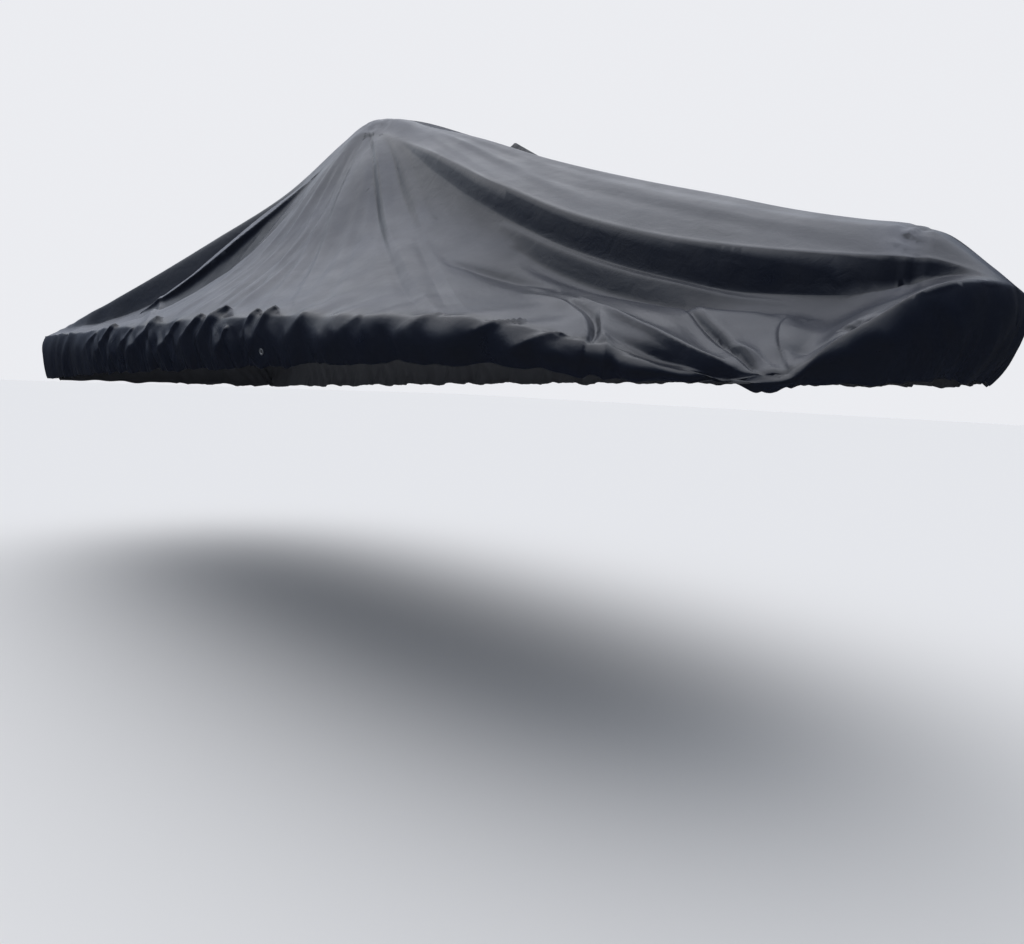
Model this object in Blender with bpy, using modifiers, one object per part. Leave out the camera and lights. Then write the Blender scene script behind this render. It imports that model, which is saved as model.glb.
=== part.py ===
"""Boat cover: a coated tarpaulin drawn over an open boat, held up at one peak.

Metres. +X runs to the bow, +Y to port, +Z up. The origin is on the underside of the
cloth at the peak, where the boat holds it up.
"""
import math
from collections import namedtuple

import bmesh
import bpy
import numpy as np
from mathutils import Vector

CLOTH_THICK = 0.002          # coated cloth, drawn a little thicker than real
PEAK_HEIGHT = 2.318          # underside of the peak above the ground
SKIRT_DROP = (1.0, 0.86, 0.56, 0.26, 0.0)   # mesh rings from the hem up to the rim
BAYS_ALONG = 50              # faces from the stern rim to the bow rim
PIECE_GAP = 0.0008           # air between pieces that touch

# Which fore-and-aft mesh line, counted from the centreline, follows each edge of a section.
LINE_AT = {"centre": 0, "crest": 3, "shoulder": 6, "foot": 8, "belly": 11, "rim": 14}

# Plan outline of the rim, stern centreline round to the tip of the bow.
OutlinePoint = namedtuple("OutlinePoint", "x y")
OUTLINE = [OutlinePoint(*row) for row in (
    (-2.170, 0.000), (-2.173, 0.350), (-2.172, 0.700), (-2.142, 0.778), (-2.055, 0.802),
    (-1.600, 0.840), (-0.880, 0.909), (0.000, 0.949), (0.640, 0.946), (1.040, 0.925),
    (1.440, 0.870), (1.760, 0.786), (2.000, 0.685), (2.180, 0.582), (2.300, 0.501),
    (2.400, 0.415), (2.484, 0.300), (2.535, 0.165), (2.553, 0.060), (2.555, 0.000))]

# Cross sections. Heights are above the ground; each "at" is a share of the half width.
# centre: on the centreline. crest: top of the wall. shoulder: where the steep band starts.
# foot: where it ends. belly: the slack between there and the rim.
Section = namedtuple("Section", "x half centre crest_at crest shoulder_at shoulder "
                                "foot_at foot belly_at belly rim hem")
STARBOARD = [Section(*row) for row in (
    (-2.18, 0.795, 1.290, 0.860, 1.312, 0.895, 1.297, 0.925, 1.285, 0.960, 1.270, 1.256, 1.012),
    (-1.86, 0.816, 1.336, 0.855, 1.364, 0.896, 1.312, 0.926, 1.288, 0.961, 1.277, 1.270, 1.026),
    (-1.60, 0.840, 1.403, 0.777, 1.444, 0.822, 1.335, 0.910, 1.296, 0.954, 1.280, 1.272, 1.037),
    (-1.28, 0.870, 1.539, 0.617, 1.587, 0.676, 1.412, 0.789, 1.340, 0.893, 1.291, 1.270, 1.051),
    (-0.88, 0.909, 1.729, 0.424, 1.781, 0.480, 1.600, 0.592, 1.512, 0.804, 1.358, 1.281, 1.069),
    (-0.46, 0.934, 1.973, 0.221, 2.011, 0.276, 1.918, 0.350, 1.858, 0.699, 1.471, 1.280, 1.083),
    (-0.16, 0.945, 2.215, 0.097, 2.232, 0.220, 2.102, 0.295, 2.005, 0.625, 1.575, 1.290, 1.093),
    (0.00, 0.949, 2.320, 0.070, 2.304, 0.153, 2.222, 0.178, 2.185, 0.602, 1.595, 1.296, 1.098),
    (0.14, 0.950, 2.296, 0.061, 2.284, 0.133, 2.208, 0.152, 2.186, 0.600, 1.592, 1.294, 1.102),
    (0.34, 0.949, 2.222, 0.084, 2.203, 0.185, 2.119, 0.197, 2.102, 0.600, 1.570, 1.294, 1.109),
    (0.64, 0.946, 2.119, 0.110, 2.082, 0.269, 1.994, 0.284, 1.926, 0.630, 1.530, 1.294, 1.121),
    (1.04, 0.925, 1.962, 0.109, 1.923, 0.357, 1.806, 0.373, 1.709, 0.660, 1.450, 1.284, 1.137),
    (1.44, 0.870, 1.827, 0.108, 1.790, 0.389, 1.634, 0.406, 1.525, 0.676, 1.366, 1.271, 1.143),
    (1.76, 0.786, 1.729, 0.106, 1.697, 0.389, 1.540, 0.407, 1.424, 0.683, 1.312, 1.216, 1.130),
    (2.00, 0.685, 1.654, 0.105, 1.631, 0.378, 1.498, 0.398, 1.374, 0.690, 1.262, 1.158, 1.108),
    (2.20, 0.568, 1.603, 0.112, 1.586, 0.359, 1.475, 0.379, 1.366, 0.696, 1.242, 1.136, 1.110),
    (2.30, 0.505, 1.582, 0.119, 1.569, 0.341, 1.467, 0.360, 1.382, 0.686, 1.300, 1.226, 1.124),
    (2.38, 0.460, 1.552, 0.116, 1.543, 0.298, 1.462, 0.316, 1.403, 0.640, 1.345, 1.285, 1.132),
    (2.44, 0.440, 1.505, 0.120, 1.498, 0.268, 1.446, 0.284, 1.415, 0.620, 1.374, 1.325, 1.138),
    (2.50, 0.430, 1.450, 0.130, 1.447, 0.255, 1.422, 0.300, 1.408, 0.600, 1.385, 1.352, 1.146),
    (2.56, 0.425, 1.390, 0.140, 1.389, 0.250, 1.388, 0.300, 1.386, 0.600, 1.378, 1.365, 1.152))]
PORT = [Section(*row) for row in (
    (-2.18, 0.795, 1.290, 0.860, 1.308, 0.895, 1.295, 0.925, 1.284, 0.960, 1.270, 1.257, 1.014),
    (-1.86, 0.816, 1.336, 0.850, 1.358, 0.896, 1.312, 0.928, 1.291, 0.962, 1.278, 1.270, 1.027),
    (-1.60, 0.840, 1.403, 0.765, 1.436, 0.865, 1.325, 0.912, 1.297, 0.956, 1.281, 1.274, 1.036),
    (-1.28, 0.870, 1.539, 0.605, 1.578, 0.735, 1.395, 0.795, 1.338, 0.896, 1.293, 1.276, 1.050),
    (-0.88, 0.909, 1.729, 0.412, 1.772, 0.545, 1.572, 0.612, 1.495, 0.812, 1.360, 1.282, 1.068),
    (-0.46, 0.934, 1.973, 0.212, 2.006, 0.348, 1.866, 0.420, 1.780, 0.710, 1.474, 1.286, 1.086),
    (-0.16, 0.945, 2.215, 0.092, 2.230, 0.222, 2.094, 0.305, 1.992, 0.640, 1.575, 1.290, 1.098),
    (0.00, 0.949, 2.320, 0.070, 2.304, 0.153, 2.222, 0.270, 2.044, 0.620, 1.590, 1.294, 1.104),
    (0.14, 0.950, 2.296, 0.061, 2.284, 0.133, 2.208, 0.250, 2.066, 0.620, 1.586, 1.294, 1.108),
    (0.64, 0.946, 2.119, 0.110, 2.084, 0.258, 2.004, 0.325, 1.915, 0.640, 1.532, 1.297, 1.124),
    (1.04, 0.925, 1.962, 0.109, 1.926, 0.340, 1.822, 0.408, 1.725, 0.660, 1.462, 1.300, 1.136),
    (1.44, 0.870, 1.827, 0.108, 1.793, 0.378, 1.652, 0.448, 1.546, 0.686, 1.386, 1.306, 1.142),
    (1.76, 0.786, 1.729, 0.106, 1.700, 0.382, 1.560, 0.452, 1.458, 0.690, 1.352, 1.315, 1.144),
    (2.00, 0.685, 1.654, 0.105, 1.634, 0.375, 1.518, 0.448, 1.420, 0.698, 1.345, 1.325, 1.146),
    (2.18, 0.582, 1.607, 0.111, 1.592, 0.360, 1.490, 0.425, 1.410, 0.700, 1.350, 1.336, 1.148),
    (2.38, 0.460, 1.552, 0.116, 1.543, 0.298, 1.466, 0.355, 1.412, 0.640, 1.366, 1.346, 1.150),
    (2.50, 0.430, 1.450, 0.130, 1.447, 0.255, 1.422, 0.305, 1.408, 0.600, 1.380, 1.356, 1.152),
    (2.56, 0.425, 1.390, 0.140, 1.389, 0.250, 1.388, 0.300, 1.386, 0.600, 1.378, 1.365, 1.152))]

BROW = 0.12                  # the cloth runs straight from the crest to this near the shoulder

# Folds in the top: a soft ridge (+) or trough (-) along a bend through three plan points.
Fold = namedtuple("Fold", "x0 y0 x1 y1 x2 y2 height width")
FOLDS = [Fold(*row) for row in (
    # pulled down from the peak to the starboard rim
    (0.03, -0.14, 0.42, -0.39, 1.18, -0.80, 0.016, 0.050),
    (0.12, -0.16, 0.55, -0.33, 1.34, -0.83, 0.009, 0.045),
    (0.10, -0.22, 0.25, -0.48, 0.63, -0.82, -0.014, 0.075),
    # from the peak towards the stern quarter
    (-0.26, -0.25, -0.62, -0.475, -1.12, -0.615, 0.036, 0.038),
    (-0.18, -0.37, -0.58, -0.615, -1.02, -0.710, -0.070, 0.058),
    # slack below the steep band: two troughs with a ridge between
    (1.24, -0.410, 1.62, -0.425, 2.06, -0.335, -0.030, 0.034),
    (1.08, -0.54, 1.45, -0.49, 1.92, -0.60, -0.018, 0.055),
    (1.40, -0.54, 1.68, -0.61, 2.05, -0.63, 0.016, 0.045),
    # the pocket short of the bow: a creased flap and the bow's own ridge
    (1.86, -0.43, 2.00, -0.38, 2.16, -0.32, 0.014, 0.045),
    (2.14, -0.33, 2.18, -0.42, 2.20, -0.53, 0.012, 0.040),
    (1.88, -0.45, 1.98, -0.52, 2.10, -0.61, -0.016, 0.040),
    # port side: a few plain ones
    (0.05, 0.16, 0.45, 0.42, 1.12, 0.80, 0.013, 0.060),
    (0.10, 0.25, 0.24, 0.52, 0.38, 0.85, -0.010, 0.080),
    (-0.25, 0.30, -0.65, 0.47, -1.10, 0.64, 0.010, 0.060),
    (1.15, 0.54, 1.55, 0.60, 2.00, 0.56, -0.014, 0.060),
    # the aft panel between its two crests
    (-0.35, -0.06, -0.90, -0.02, -1.75, -0.34, -0.012, 0.080),
    (-0.40, 0.06, -1.00, 0.16, -1.80, 0.22, -0.010, 0.090))]

# Slack in the hanging skirt: a wave of this length and depth in each stretch of the rim.
Slack = namedtuple("Slack", "x_from x_to wave depth phase")
SLACK = [Slack(*row) for row in (
    (-2.00, -1.15, 0.310, 0.006, 0.4),
    (-1.20, 0.65, 0.270, 0.008, 1.7),
    (0.60, 1.70, 0.420, 0.007, 0.2),
    (1.60, 2.45, 0.260, 0.010, 2.3))]


def curve_through(xs, ys, at):
    """Smooth interpolation through the points that never overshoots them."""
    xs, ys = np.asarray(xs, float), np.asarray(ys, float)
    step = np.diff(xs)
    slope = np.diff(ys) / step
    tangent = np.zeros_like(ys)
    w1, w2 = 2 * step[1:] + step[:-1], step[1:] + 2 * step[:-1]
    same = slope[1:] * slope[:-1] > 0
    safe_a = np.where(same, slope[:-1], 1.0)
    safe_b = np.where(same, slope[1:], 1.0)
    tangent[1:-1] = np.where(same, (w1 + w2) / (w1 / safe_a + w2 / safe_b), 0.0)
    tangent[0], tangent[-1] = slope[0], slope[-1]
    at = np.clip(at, xs[0], xs[-1])
    k = np.clip(np.searchsorted(xs, at) - 1, 0, len(step) - 1)
    t = (at - xs[k]) / step[k]
    h00, h10 = (1 + 2 * t) * (1 - t) ** 2, t * (1 - t) ** 2
    h01, h11 = t * t * (3 - 2 * t), t * t * (t - 1)
    return h00 * ys[k] + h10 * step[k] * tangent[k] + h01 * ys[k + 1] + h11 * step[k] * tangent[k + 1]


def column(sections, name, x):
    return curve_through([s.x for s in sections], [getattr(s, name) for s in sections], x)


def rows_through(xs, ys, at):
    """curve_through for many curves at once: one curve and one place to each row."""
    step = np.diff(xs, axis=1)
    slope = np.diff(ys, axis=1) / step
    w1, w2 = 2 * step[:, 1:] + step[:, :-1], step[:, 1:] + 2 * step[:, :-1]
    same = slope[:, 1:] * slope[:, :-1] > 0
    safe_a = np.where(same, slope[:, :-1], 1.0)
    safe_b = np.where(same, slope[:, 1:], 1.0)
    tangent = np.zeros_like(ys)
    tangent[:, 1:-1] = np.where(same, (w1 + w2) / (w1 / safe_a + w2 / safe_b), 0.0)
    tangent[:, -1] = slope[:, -1]
    row = np.arange(len(at))
    k = np.clip((xs < at[:, None]).sum(axis=1) - 1, 0, step.shape[1] - 1)
    width = step[row, k]
    t = np.clip((at - xs[row, k]) / width, 0, 1)
    h00, h10 = (1 + 2 * t) * (1 - t) ** 2, t * (1 - t) ** 2
    h01, h11 = t * t * (3 - 2 * t), t * t * (t - 1)
    return (h00 * ys[row, k] + h10 * width * tangent[row, k]
            + h01 * ys[row, k + 1] + h11 * width * tangent[row, k + 1])


def top_height(x, y):
    """Height of the spread cloth over the plan point, before its folds."""
    x, y = np.atleast_1d(np.asarray(x, float)), np.atleast_1d(np.asarray(y, float))
    height = np.empty_like(x)
    for side, sections in ((y < 0, STARBOARD), (y >= 0, PORT)):
        if not side.any():
            continue
        xs = x[side]
        share = np.abs(y[side]) / column(sections, "half", xs)
        zero = np.zeros_like(xs)
        crest_at, shoulder_at = column(sections, "crest_at", xs), column(sections, "shoulder_at", xs)
        crest, shoulder = column(sections, "crest", xs), column(sections, "shoulder", xs)
        brow_at = shoulder_at + BROW * (crest_at - shoulder_at)
        brow = shoulder + BROW * (crest - shoulder)
        places = np.stack([zero, crest_at, brow_at, shoulder_at, column(sections, "foot_at", xs),
                           column(sections, "belly_at", xs), zero + 1.0], axis=1)
        levels = np.stack([column(sections, "centre", xs), crest, brow, shoulder,
                           column(sections, "foot", xs), column(sections, "belly", xs),
                           column(sections, "rim", xs)], axis=1)
        height[side] = rows_through(places, levels, share)
    return height


def fold_height(x, y):
    """What the folds add to the height over the plan point."""
    total = np.zeros_like(x)
    steps = np.linspace(0, 1, 25)
    for f in FOLDS:
        line_x = (1 - steps) ** 2 * f.x0 + 2 * steps * (1 - steps) * f.x1 + steps ** 2 * f.x2
        line_y = (1 - steps) ** 2 * f.y0 + 2 * steps * (1 - steps) * f.y1 + steps ** 2 * f.y2
        near = np.full_like(x, 9.0)
        along = np.zeros_like(x)
        for k in range(len(steps) - 1):
            dx, dy = line_x[k + 1] - line_x[k], line_y[k + 1] - line_y[k]
            part = ((x - line_x[k]) * dx + (y - line_y[k]) * dy) / (dx * dx + dy * dy)
            part = np.clip(part, 0, 1)
            d = np.hypot(x - line_x[k] - part * dx, y - line_y[k] - part * dy)
            closer = d < near
            near[closer] = d[closer]
            along[closer] = (steps[k] + part * (steps[k + 1] - steps[k]))[closer]
        fade = np.sin(np.pi * np.clip(along, 0.03, 0.97)) ** 0.6
        total += f.height * fade * np.exp(-(near / f.width) ** 2)
    return total


def outline_path(samples=1200):
    """The starboard half of the rim outline, stern centreline to bow tip, at even steps."""
    pts = [Vector((p.x, -p.y, 0.0)) for p in OUTLINE]
    ends = [Vector((pts[1].x, -pts[1].y, 0)), *pts, Vector((pts[-2].x, -pts[-2].y, 0))]
    path = []
    for k in range(1, len(ends) - 2):
        a, b, c, d = ends[k - 1:k + 3]
        for n in range(24):
            t = n / 24
            path.append(0.5 * ((2 * b) + (c - a) * t + (2 * a - 5 * b + 4 * c - d) * t ** 2
                               + (3 * b - 3 * c + d - a) * t ** 3))
    path.append(pts[-1])
    path = np.array([(p.x, p.y) for p in path])
    run = np.concatenate([[0], np.cumsum(np.hypot(*np.diff(path, axis=0).T))])
    even = np.linspace(0, run[-1], samples)
    return np.stack([np.interp(even, run, path[:, 0]), np.interp(even, run, path[:, 1])], axis=1), run[-1]


RIM, RIM_LENGTH = outline_path()
STERN_CORNER, BOW_CORNER = 0.775 / RIM_LENGTH, 1 - 0.41 / RIM_LENGTH   # shares of the half outline


def rim_point(share, port=False):
    """Plan point on the rim at a share of the half outline."""
    k = np.clip(share, 0, 1) * (len(RIM) - 1)
    i = np.arange(len(RIM))
    x, y = np.interp(k, i, RIM[:, 0]), np.interp(k, i, RIM[:, 1])
    return np.stack([x, np.where(port, -y, y)], axis=-1)


def rim_outward(share, port=False):
    a, b = rim_point(np.clip(share - 0.004, 0, 1)), rim_point(np.clip(share + 0.004, 0, 1))
    along = (b - a) / np.maximum(np.linalg.norm(b - a, axis=-1, keepdims=True), 1e-9)
    out = np.stack([along[..., 1], -along[..., 0]], axis=-1)
    out[..., 1] = np.where(port, -out[..., 1], out[..., 1])
    end = (share <= 0.003) | (share >= 0.997)
    out[..., 1] = np.where(end, 0.0, out[..., 1])
    return out / np.linalg.norm(out, axis=-1, keepdims=True)


def side_share(s):
    return STERN_CORNER + (BOW_CORNER - STERN_CORNER) * s


def end_share(t, bow):
    """Share of the half outline, and the side, for a place across the stern or bow end."""
    port = t > 0.5
    q = np.abs(1 - 2 * t)
    corner = np.where(bow, 1 - BOW_CORNER, STERN_CORNER)
    return np.where(bow, 1 - q * corner, q * corner), port


def plan_point(s, t):
    """Plan point of the spread cloth: s runs stern to bow, t starboard to port."""
    sb, pt = rim_point(side_share(s)), rim_point(side_share(s), True)
    st = rim_point(*end_share(t, False))
    bw = rim_point(*end_share(t, True))
    s_, t_ = s[..., None], t[..., None]
    c00, c01 = rim_point(STERN_CORNER), rim_point(STERN_CORNER, True)
    c10, c11 = rim_point(BOW_CORNER), rim_point(BOW_CORNER, True)
    return ((1 - t_) * sb + t_ * pt + (1 - s_) * st + s_ * bw
            - (1 - s_) * (1 - t_) * c00 - (1 - s_) * t_ * c01 - s_ * (1 - t_) * c10 - s_ * t_ * c11)


def skirt_point(share, port, down):
    """Point of the hanging skirt: down runs 0 at the rim to 1 at the hem."""
    flat = rim_point(share, port)
    out = rim_outward(share, port)
    x = flat[..., 0]
    rim = top_height(x.ravel(), flat[..., 1].ravel()).reshape(x.shape)
    hem = np.where(port, column(PORT, "hem", x), column(STARBOARD, "hem", x))
    run = share * RIM_LENGTH
    sway = np.zeros_like(x)
    for k in SLACK:
        inside = np.clip((x - k.x_from) / 0.15, 0, 1) * np.clip((k.x_to - x) / 0.15, 0, 1)
        turn = 2 * math.pi * run / k.wave + k.phase + np.where(port, 1.9, 0.0)
        sway += k.depth * inside * (np.sin(turn) + 0.45 * np.sin(2.3 * turn + 1.0))
    stern = np.clip((-2.04 - x) / 0.09, 0, 1)
    tuck = 0.004 + 0.060 * np.clip((x - 2.0) / 0.55, 0, 1) ** 2 + 0.100 * stern
    bulge = (0.020 + 0.008 * stern) * np.sin(math.pi * down) ** 0.8
    offset = bulge + sway * np.sin(math.pi * np.clip(down, 0, 1) * 0.72)
    offset = offset - tuck * down ** 2
    ripple = 0.004 * np.sin(run * 17.0 + np.where(port, 2.0, 0.0)) + 0.003 * np.sin(run * 41.0)
    z = rim + (hem + ripple - rim) * down
    return np.concatenate([flat + out * offset[..., None], z[..., None]], axis=-1)


def across(x, t):
    """Place across the cloth of a mesh line, so that the lines follow the sections' edges."""
    line = np.abs(t - 0.5) * 2 * LINE_AT["rim"]
    share = np.zeros_like(line)
    marks = list(LINE_AT.values())
    for port, sections in ((False, STARBOARD), (True, PORT)):
        edges = [np.zeros_like(x)] + [column(sections, name + "_at", x)
                                      for name in list(LINE_AT)[1:-1]] + [np.ones_like(x)]
        side = np.zeros_like(line)
        for k in range(len(marks) - 1):
            part = np.clip((line - marks[k]) / (marks[k + 1] - marks[k]), 0, 1)
            side += part * (edges[k + 1] - edges[k])
        share = np.where((t > 0.5) == port, side, share)
    return 0.5 + np.where(t < 0.5, -0.5, 0.5) * share


def place_across(s, t):
    """Where mesh line t crosses the cloth at s: the share of the half width is the sections'."""
    width = np.abs(rim_point(side_share(s))[..., 1])
    x = rim_point(side_share(s))[..., 0]
    for _ in range(6):
        lines = across(x, t)
        share = np.abs(lines - 0.5) * 2
        stretch = np.where(t > 0.5, column(PORT, "half", x), column(STARBOARD, "half", x)) / width
        share = share * (1 + (stretch - 1) * (1 - share ** 2))
        place = 0.5 + np.where(t < 0.5, -0.5, 0.5) * share
        x = plan_point(s, place)[..., 0]
    return place


def surface(i, j, rings, span_u, span_v):
    """Point of the outer face at grid place (i, j), skirt rings included."""
    count_u, count_v = span_u + 2 * rings, span_v + 2 * rings
    edge = np.stack([i, count_u - i, j, count_v - j])
    ring = edge.min(axis=0)
    which = edge.argmin(axis=0)
    in_u = np.clip((i - rings) / span_u, 0, 1)
    in_v = np.clip((j - rings) / span_v, 0, 1)
    flat = plan_point(in_u, place_across(in_u, in_v))
    z = top_height(flat[..., 0].ravel(), flat[..., 1].ravel()).reshape(in_u.shape)
    z = z + fold_height(flat[..., 0].ravel(), flat[..., 1].ravel()).reshape(in_u.shape)
    pts = np.concatenate([flat, z[..., None]], axis=-1)
    skirt = ring < rings
    down = np.interp(ring * (len(SKIRT_DROP) - 1) / rings, np.arange(len(SKIRT_DROP)), SKIRT_DROP)
    # share along the side of this ring, so that the rings stay above one another
    s = np.clip((i - ring) / np.maximum(count_u - 2 * ring, 1e-9), 0, 1)
    t = np.clip((j - ring) / np.maximum(count_v - 2 * ring, 1e-9), 0, 1)
    on_side = which >= 2
    end, end_port = end_share(place_across(np.where(which == 1, 1.0, 0.0), t), which == 1)
    share = np.where(on_side, side_share(s), end)
    port = np.where(on_side, which == 3, end_port)
    hang = skirt_point(share, port, np.where(skirt, down, 0.0))
    return np.where(skirt[..., None], hang, pts)


RINGS = len(SKIRT_DROP) - 1
BAYS_ACROSS = 2 * LINE_AT["rim"]
EYELET_BAY = 33              # bay from the stern, on the starboard skirt, that holds the eyelet
EYELET_RADIUS, EYELET_HOLE, CLOTH_HOLE = 0.0118, 0.0058, 0.0078


def clear_scene():
    for obj in list(bpy.data.objects):
        bpy.data.objects.remove(obj, do_unlink=True)


def material(name, colour, roughness, metallic=0.0):
    mat = bpy.data.materials.new(name)
    mat.use_nodes = True
    shader = mat.node_tree.nodes["Principled BSDF"]
    shader.inputs["Base Color"].default_value = (*colour, 1.0)
    shader.inputs["Roughness"].default_value = roughness
    shader.inputs["Metallic"].default_value = metallic
    return mat


def new_object(name, bm, mat, collection):
    mesh = bpy.data.meshes.new(name)
    bm.to_mesh(mesh)
    bm.free()
    mesh.materials.append(mat)
    obj = bpy.data.objects.new(name, mesh)
    collection.objects.link(obj)
    return obj


def thicken(obj):
    solid = obj.modifiers.new("cloth thickness", "SOLIDIFY")
    solid.thickness = CLOTH_THICK
    solid.offset = -1.0


def sheet_mesh():
    """A grid of faces laid on the cover's surface, and the grid place of each vertex."""
    along, across = BAYS_ALONG + 2 * RINGS, BAYS_ACROSS + 2 * RINGS
    bm = bmesh.new()
    bmesh.ops.create_grid(bm, x_segments=along, y_segments=across, size=0.5)
    i = np.array([round((v.co.x + 0.5) * along) for v in bm.verts], float)
    j = np.array([round((v.co.y + 0.5) * across) for v in bm.verts], float)
    places = surface(i, j, RINGS, BAYS_ALONG, BAYS_ACROSS)
    for vert, place in zip(bm.verts, places):
        vert.co = (place[0], place[1], place[2] - PEAK_HEIGHT)
    bm.verts.index_update()
    bm.normal_update()
    return bm, i, j


def in_strip(face, i, j):
    mid_i = sum(i[v.index] for v in face.verts) / 4
    mid_j = sum(j[v.index] for v in face.verts) / 4
    return abs(mid_i - (EYELET_BAY + 0.5)) < 1.6 and mid_j < 3


def build_cloth(collection, cloth):
    bm, i, j = sheet_mesh()
    bmesh.ops.delete(bm, geom=[f for f in bm.faces if in_strip(f, i, j)], context="FACES")
    obj = new_object("cover_cloth", bm, cloth, collection)
    thicken(obj)
    return obj


def build_strip(collection, cutters, cloth):
    """The length of skirt round the eyelet: it is flat at the eyelet, and a hole goes through."""
    bm, i, j = sheet_mesh()
    bm.faces.ensure_lookup_table()
    middle = next(f for f in bm.faces
                  if abs(sum(i[v.index] for v in f.verts) / 4 - EYELET_BAY - 0.5) < 0.1
                  and abs(sum(j[v.index] for v in f.verts) / 4 - 1.5) < 0.1)
    centre, normal = middle.calc_center_median(), middle.normal.copy()
    for vert in middle.verts:
        vert.co -= normal * (vert.co - centre).dot(normal)
    bmesh.ops.delete(bm, geom=[f for f in bm.faces if not in_strip(f, i, j)], context="FACES")
    rim = [v for v in bm.verts if v.is_boundary]
    inward = {}
    for vert in rim:
        pull = sum((e.other_vert(vert).co - vert.co for e in vert.link_edges
                    if not e.is_boundary), Vector())
        if not pull.length:
            pull = sum((e.other_vert(vert).co - vert.co for e in vert.link_edges), Vector())
            pull *= math.sqrt(2)
        inward[vert] = pull.normalized() * PIECE_GAP * (1.0 if len(vert.link_edges) > 2 else 1.5)
    for vert, pull in inward.items():
        vert.co += pull
    obj = new_object("eyelet_strip", bm, cloth, collection)
    thicken(obj)
    bpy.ops.mesh.primitive_cylinder_add(vertices=24, radius=CLOTH_HOLE, depth=0.05, location=centre)
    cutter = bpy.context.object
    cutter.name = "eyelet_cutter"
    cutter.rotation_euler = normal.to_track_quat("Z", "Y").to_euler()
    cutter.display_type = "WIRE"
    cutter.hide_render = True
    for owner in list(cutter.users_collection):
        owner.objects.unlink(cutter)
    cutters.objects.link(cutter)
    cut = obj.modifiers.new("eyelet hole", "BOOLEAN")
    cut.operation = "DIFFERENCE"
    cut.object = cutter
    return obj, centre, normal


def build_eyelet(collection, metal, centre, normal):
    """A turned metal eyelet whose two flanges clasp the cloth, 0.3 mm clear of it."""
    face, back = 0.0003, -CLOTH_THICK - 0.0003
    lip = 0.0009
    profile = ((EYELET_HOLE, back - lip), (EYELET_RADIUS - 0.0004, back - lip),
               (EYELET_RADIUS, back - 0.5 * lip), (EYELET_RADIUS - 0.0006, back),
               (CLOTH_HOLE - 0.0004, back), (CLOTH_HOLE - 0.0004, face),
               (EYELET_RADIUS - 0.0006, face), (EYELET_RADIUS, face + 0.5 * lip),
               (EYELET_RADIUS - 0.0016, face + lip), (EYELET_HOLE + 0.0012, face + lip),
               (EYELET_HOLE, face + 0.4 * lip))
    bm = bmesh.new()
    verts = [bm.verts.new((r, 0.0, z)) for r, z in profile]
    for a, b in zip(verts, verts[1:] + verts[:1]):
        bm.edges.new((a, b))
    obj = new_object("eyelet_ring", bm, metal, collection)
    turn = obj.modifiers.new("turn", "SCREW")
    turn.steps = turn.render_steps = 28
    turn.use_merge_vertices = True
    turn.merge_threshold = 0.00001
    turn.use_normal_calculate = True
    obj.location = centre
    obj.rotation_euler = normal.to_track_quat("Z", "Y").to_euler()
    return obj


def main():
    clear_scene()
    parts = bpy.data.collections.new("boat_cover")
    cutters = bpy.data.collections.new("boat_cover_cutters")
    for collection in (parts, cutters):
        bpy.context.scene.collection.children.link(collection)
    cloth = material("navy_coated_cloth", (0.020, 0.024, 0.036), 0.42)
    metal = material("zinc_eyelet", (0.55, 0.54, 0.51), 0.35, 1.0)
    build_cloth(parts, cloth)
    strip, centre, normal = build_strip(parts, cutters, cloth)
    build_eyelet(parts, metal, centre, normal)


main()
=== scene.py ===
"""Boat cover: coated tarpaulin over an open boat, held up at one peak.

Metres, in the frame's own axes: +X to the bow, +Y to port, +Z up, origin under the peak.
"""
import math
from collections import namedtuple

import bmesh
import bpy
import numpy as np
from mathutils import Matrix, Vector


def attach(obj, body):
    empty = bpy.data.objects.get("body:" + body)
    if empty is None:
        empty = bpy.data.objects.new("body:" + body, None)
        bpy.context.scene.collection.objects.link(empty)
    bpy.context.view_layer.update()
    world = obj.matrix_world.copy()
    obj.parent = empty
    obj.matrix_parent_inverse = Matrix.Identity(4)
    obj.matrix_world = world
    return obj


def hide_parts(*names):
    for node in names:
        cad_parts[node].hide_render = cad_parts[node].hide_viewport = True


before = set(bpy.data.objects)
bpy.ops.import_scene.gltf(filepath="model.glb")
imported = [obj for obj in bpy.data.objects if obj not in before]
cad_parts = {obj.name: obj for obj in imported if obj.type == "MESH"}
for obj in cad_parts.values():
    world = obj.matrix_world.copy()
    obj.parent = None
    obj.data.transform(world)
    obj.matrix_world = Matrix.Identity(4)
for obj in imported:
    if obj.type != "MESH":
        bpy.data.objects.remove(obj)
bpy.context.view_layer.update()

CLOTH_THICK = 0.002
PEAK_HEIGHT = 2.318          # the peak above the ground
SKIRT_DROP = (1.0, 0.86, 0.56, 0.26, 0.0)   # how far down the skirt each ring lies, hem to rim

# Which fore-and-aft mesh line, counted from the centreline, follows each edge of a section.
LINE_AT = {"centre": 0, "crest": 3, "shoulder": 6, "foot": 8, "belly": 11, "rim": 14}

# Plan outline of the rim, stern centreline round to the tip of the bow.
OutlinePoint = namedtuple("OutlinePoint", "x y")
OUTLINE = [OutlinePoint(*row) for row in (
    (-2.170, 0.000), (-2.173, 0.350), (-2.172, 0.700), (-2.142, 0.778), (-2.055, 0.802),
    (-1.600, 0.840), (-0.880, 0.909), (0.000, 0.949), (0.640, 0.946), (1.040, 0.925),
    (1.440, 0.870), (1.760, 0.786), (2.000, 0.685), (2.180, 0.582), (2.300, 0.501),
    (2.400, 0.415), (2.484, 0.300), (2.535, 0.165), (2.553, 0.060), (2.555, 0.000))]

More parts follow.
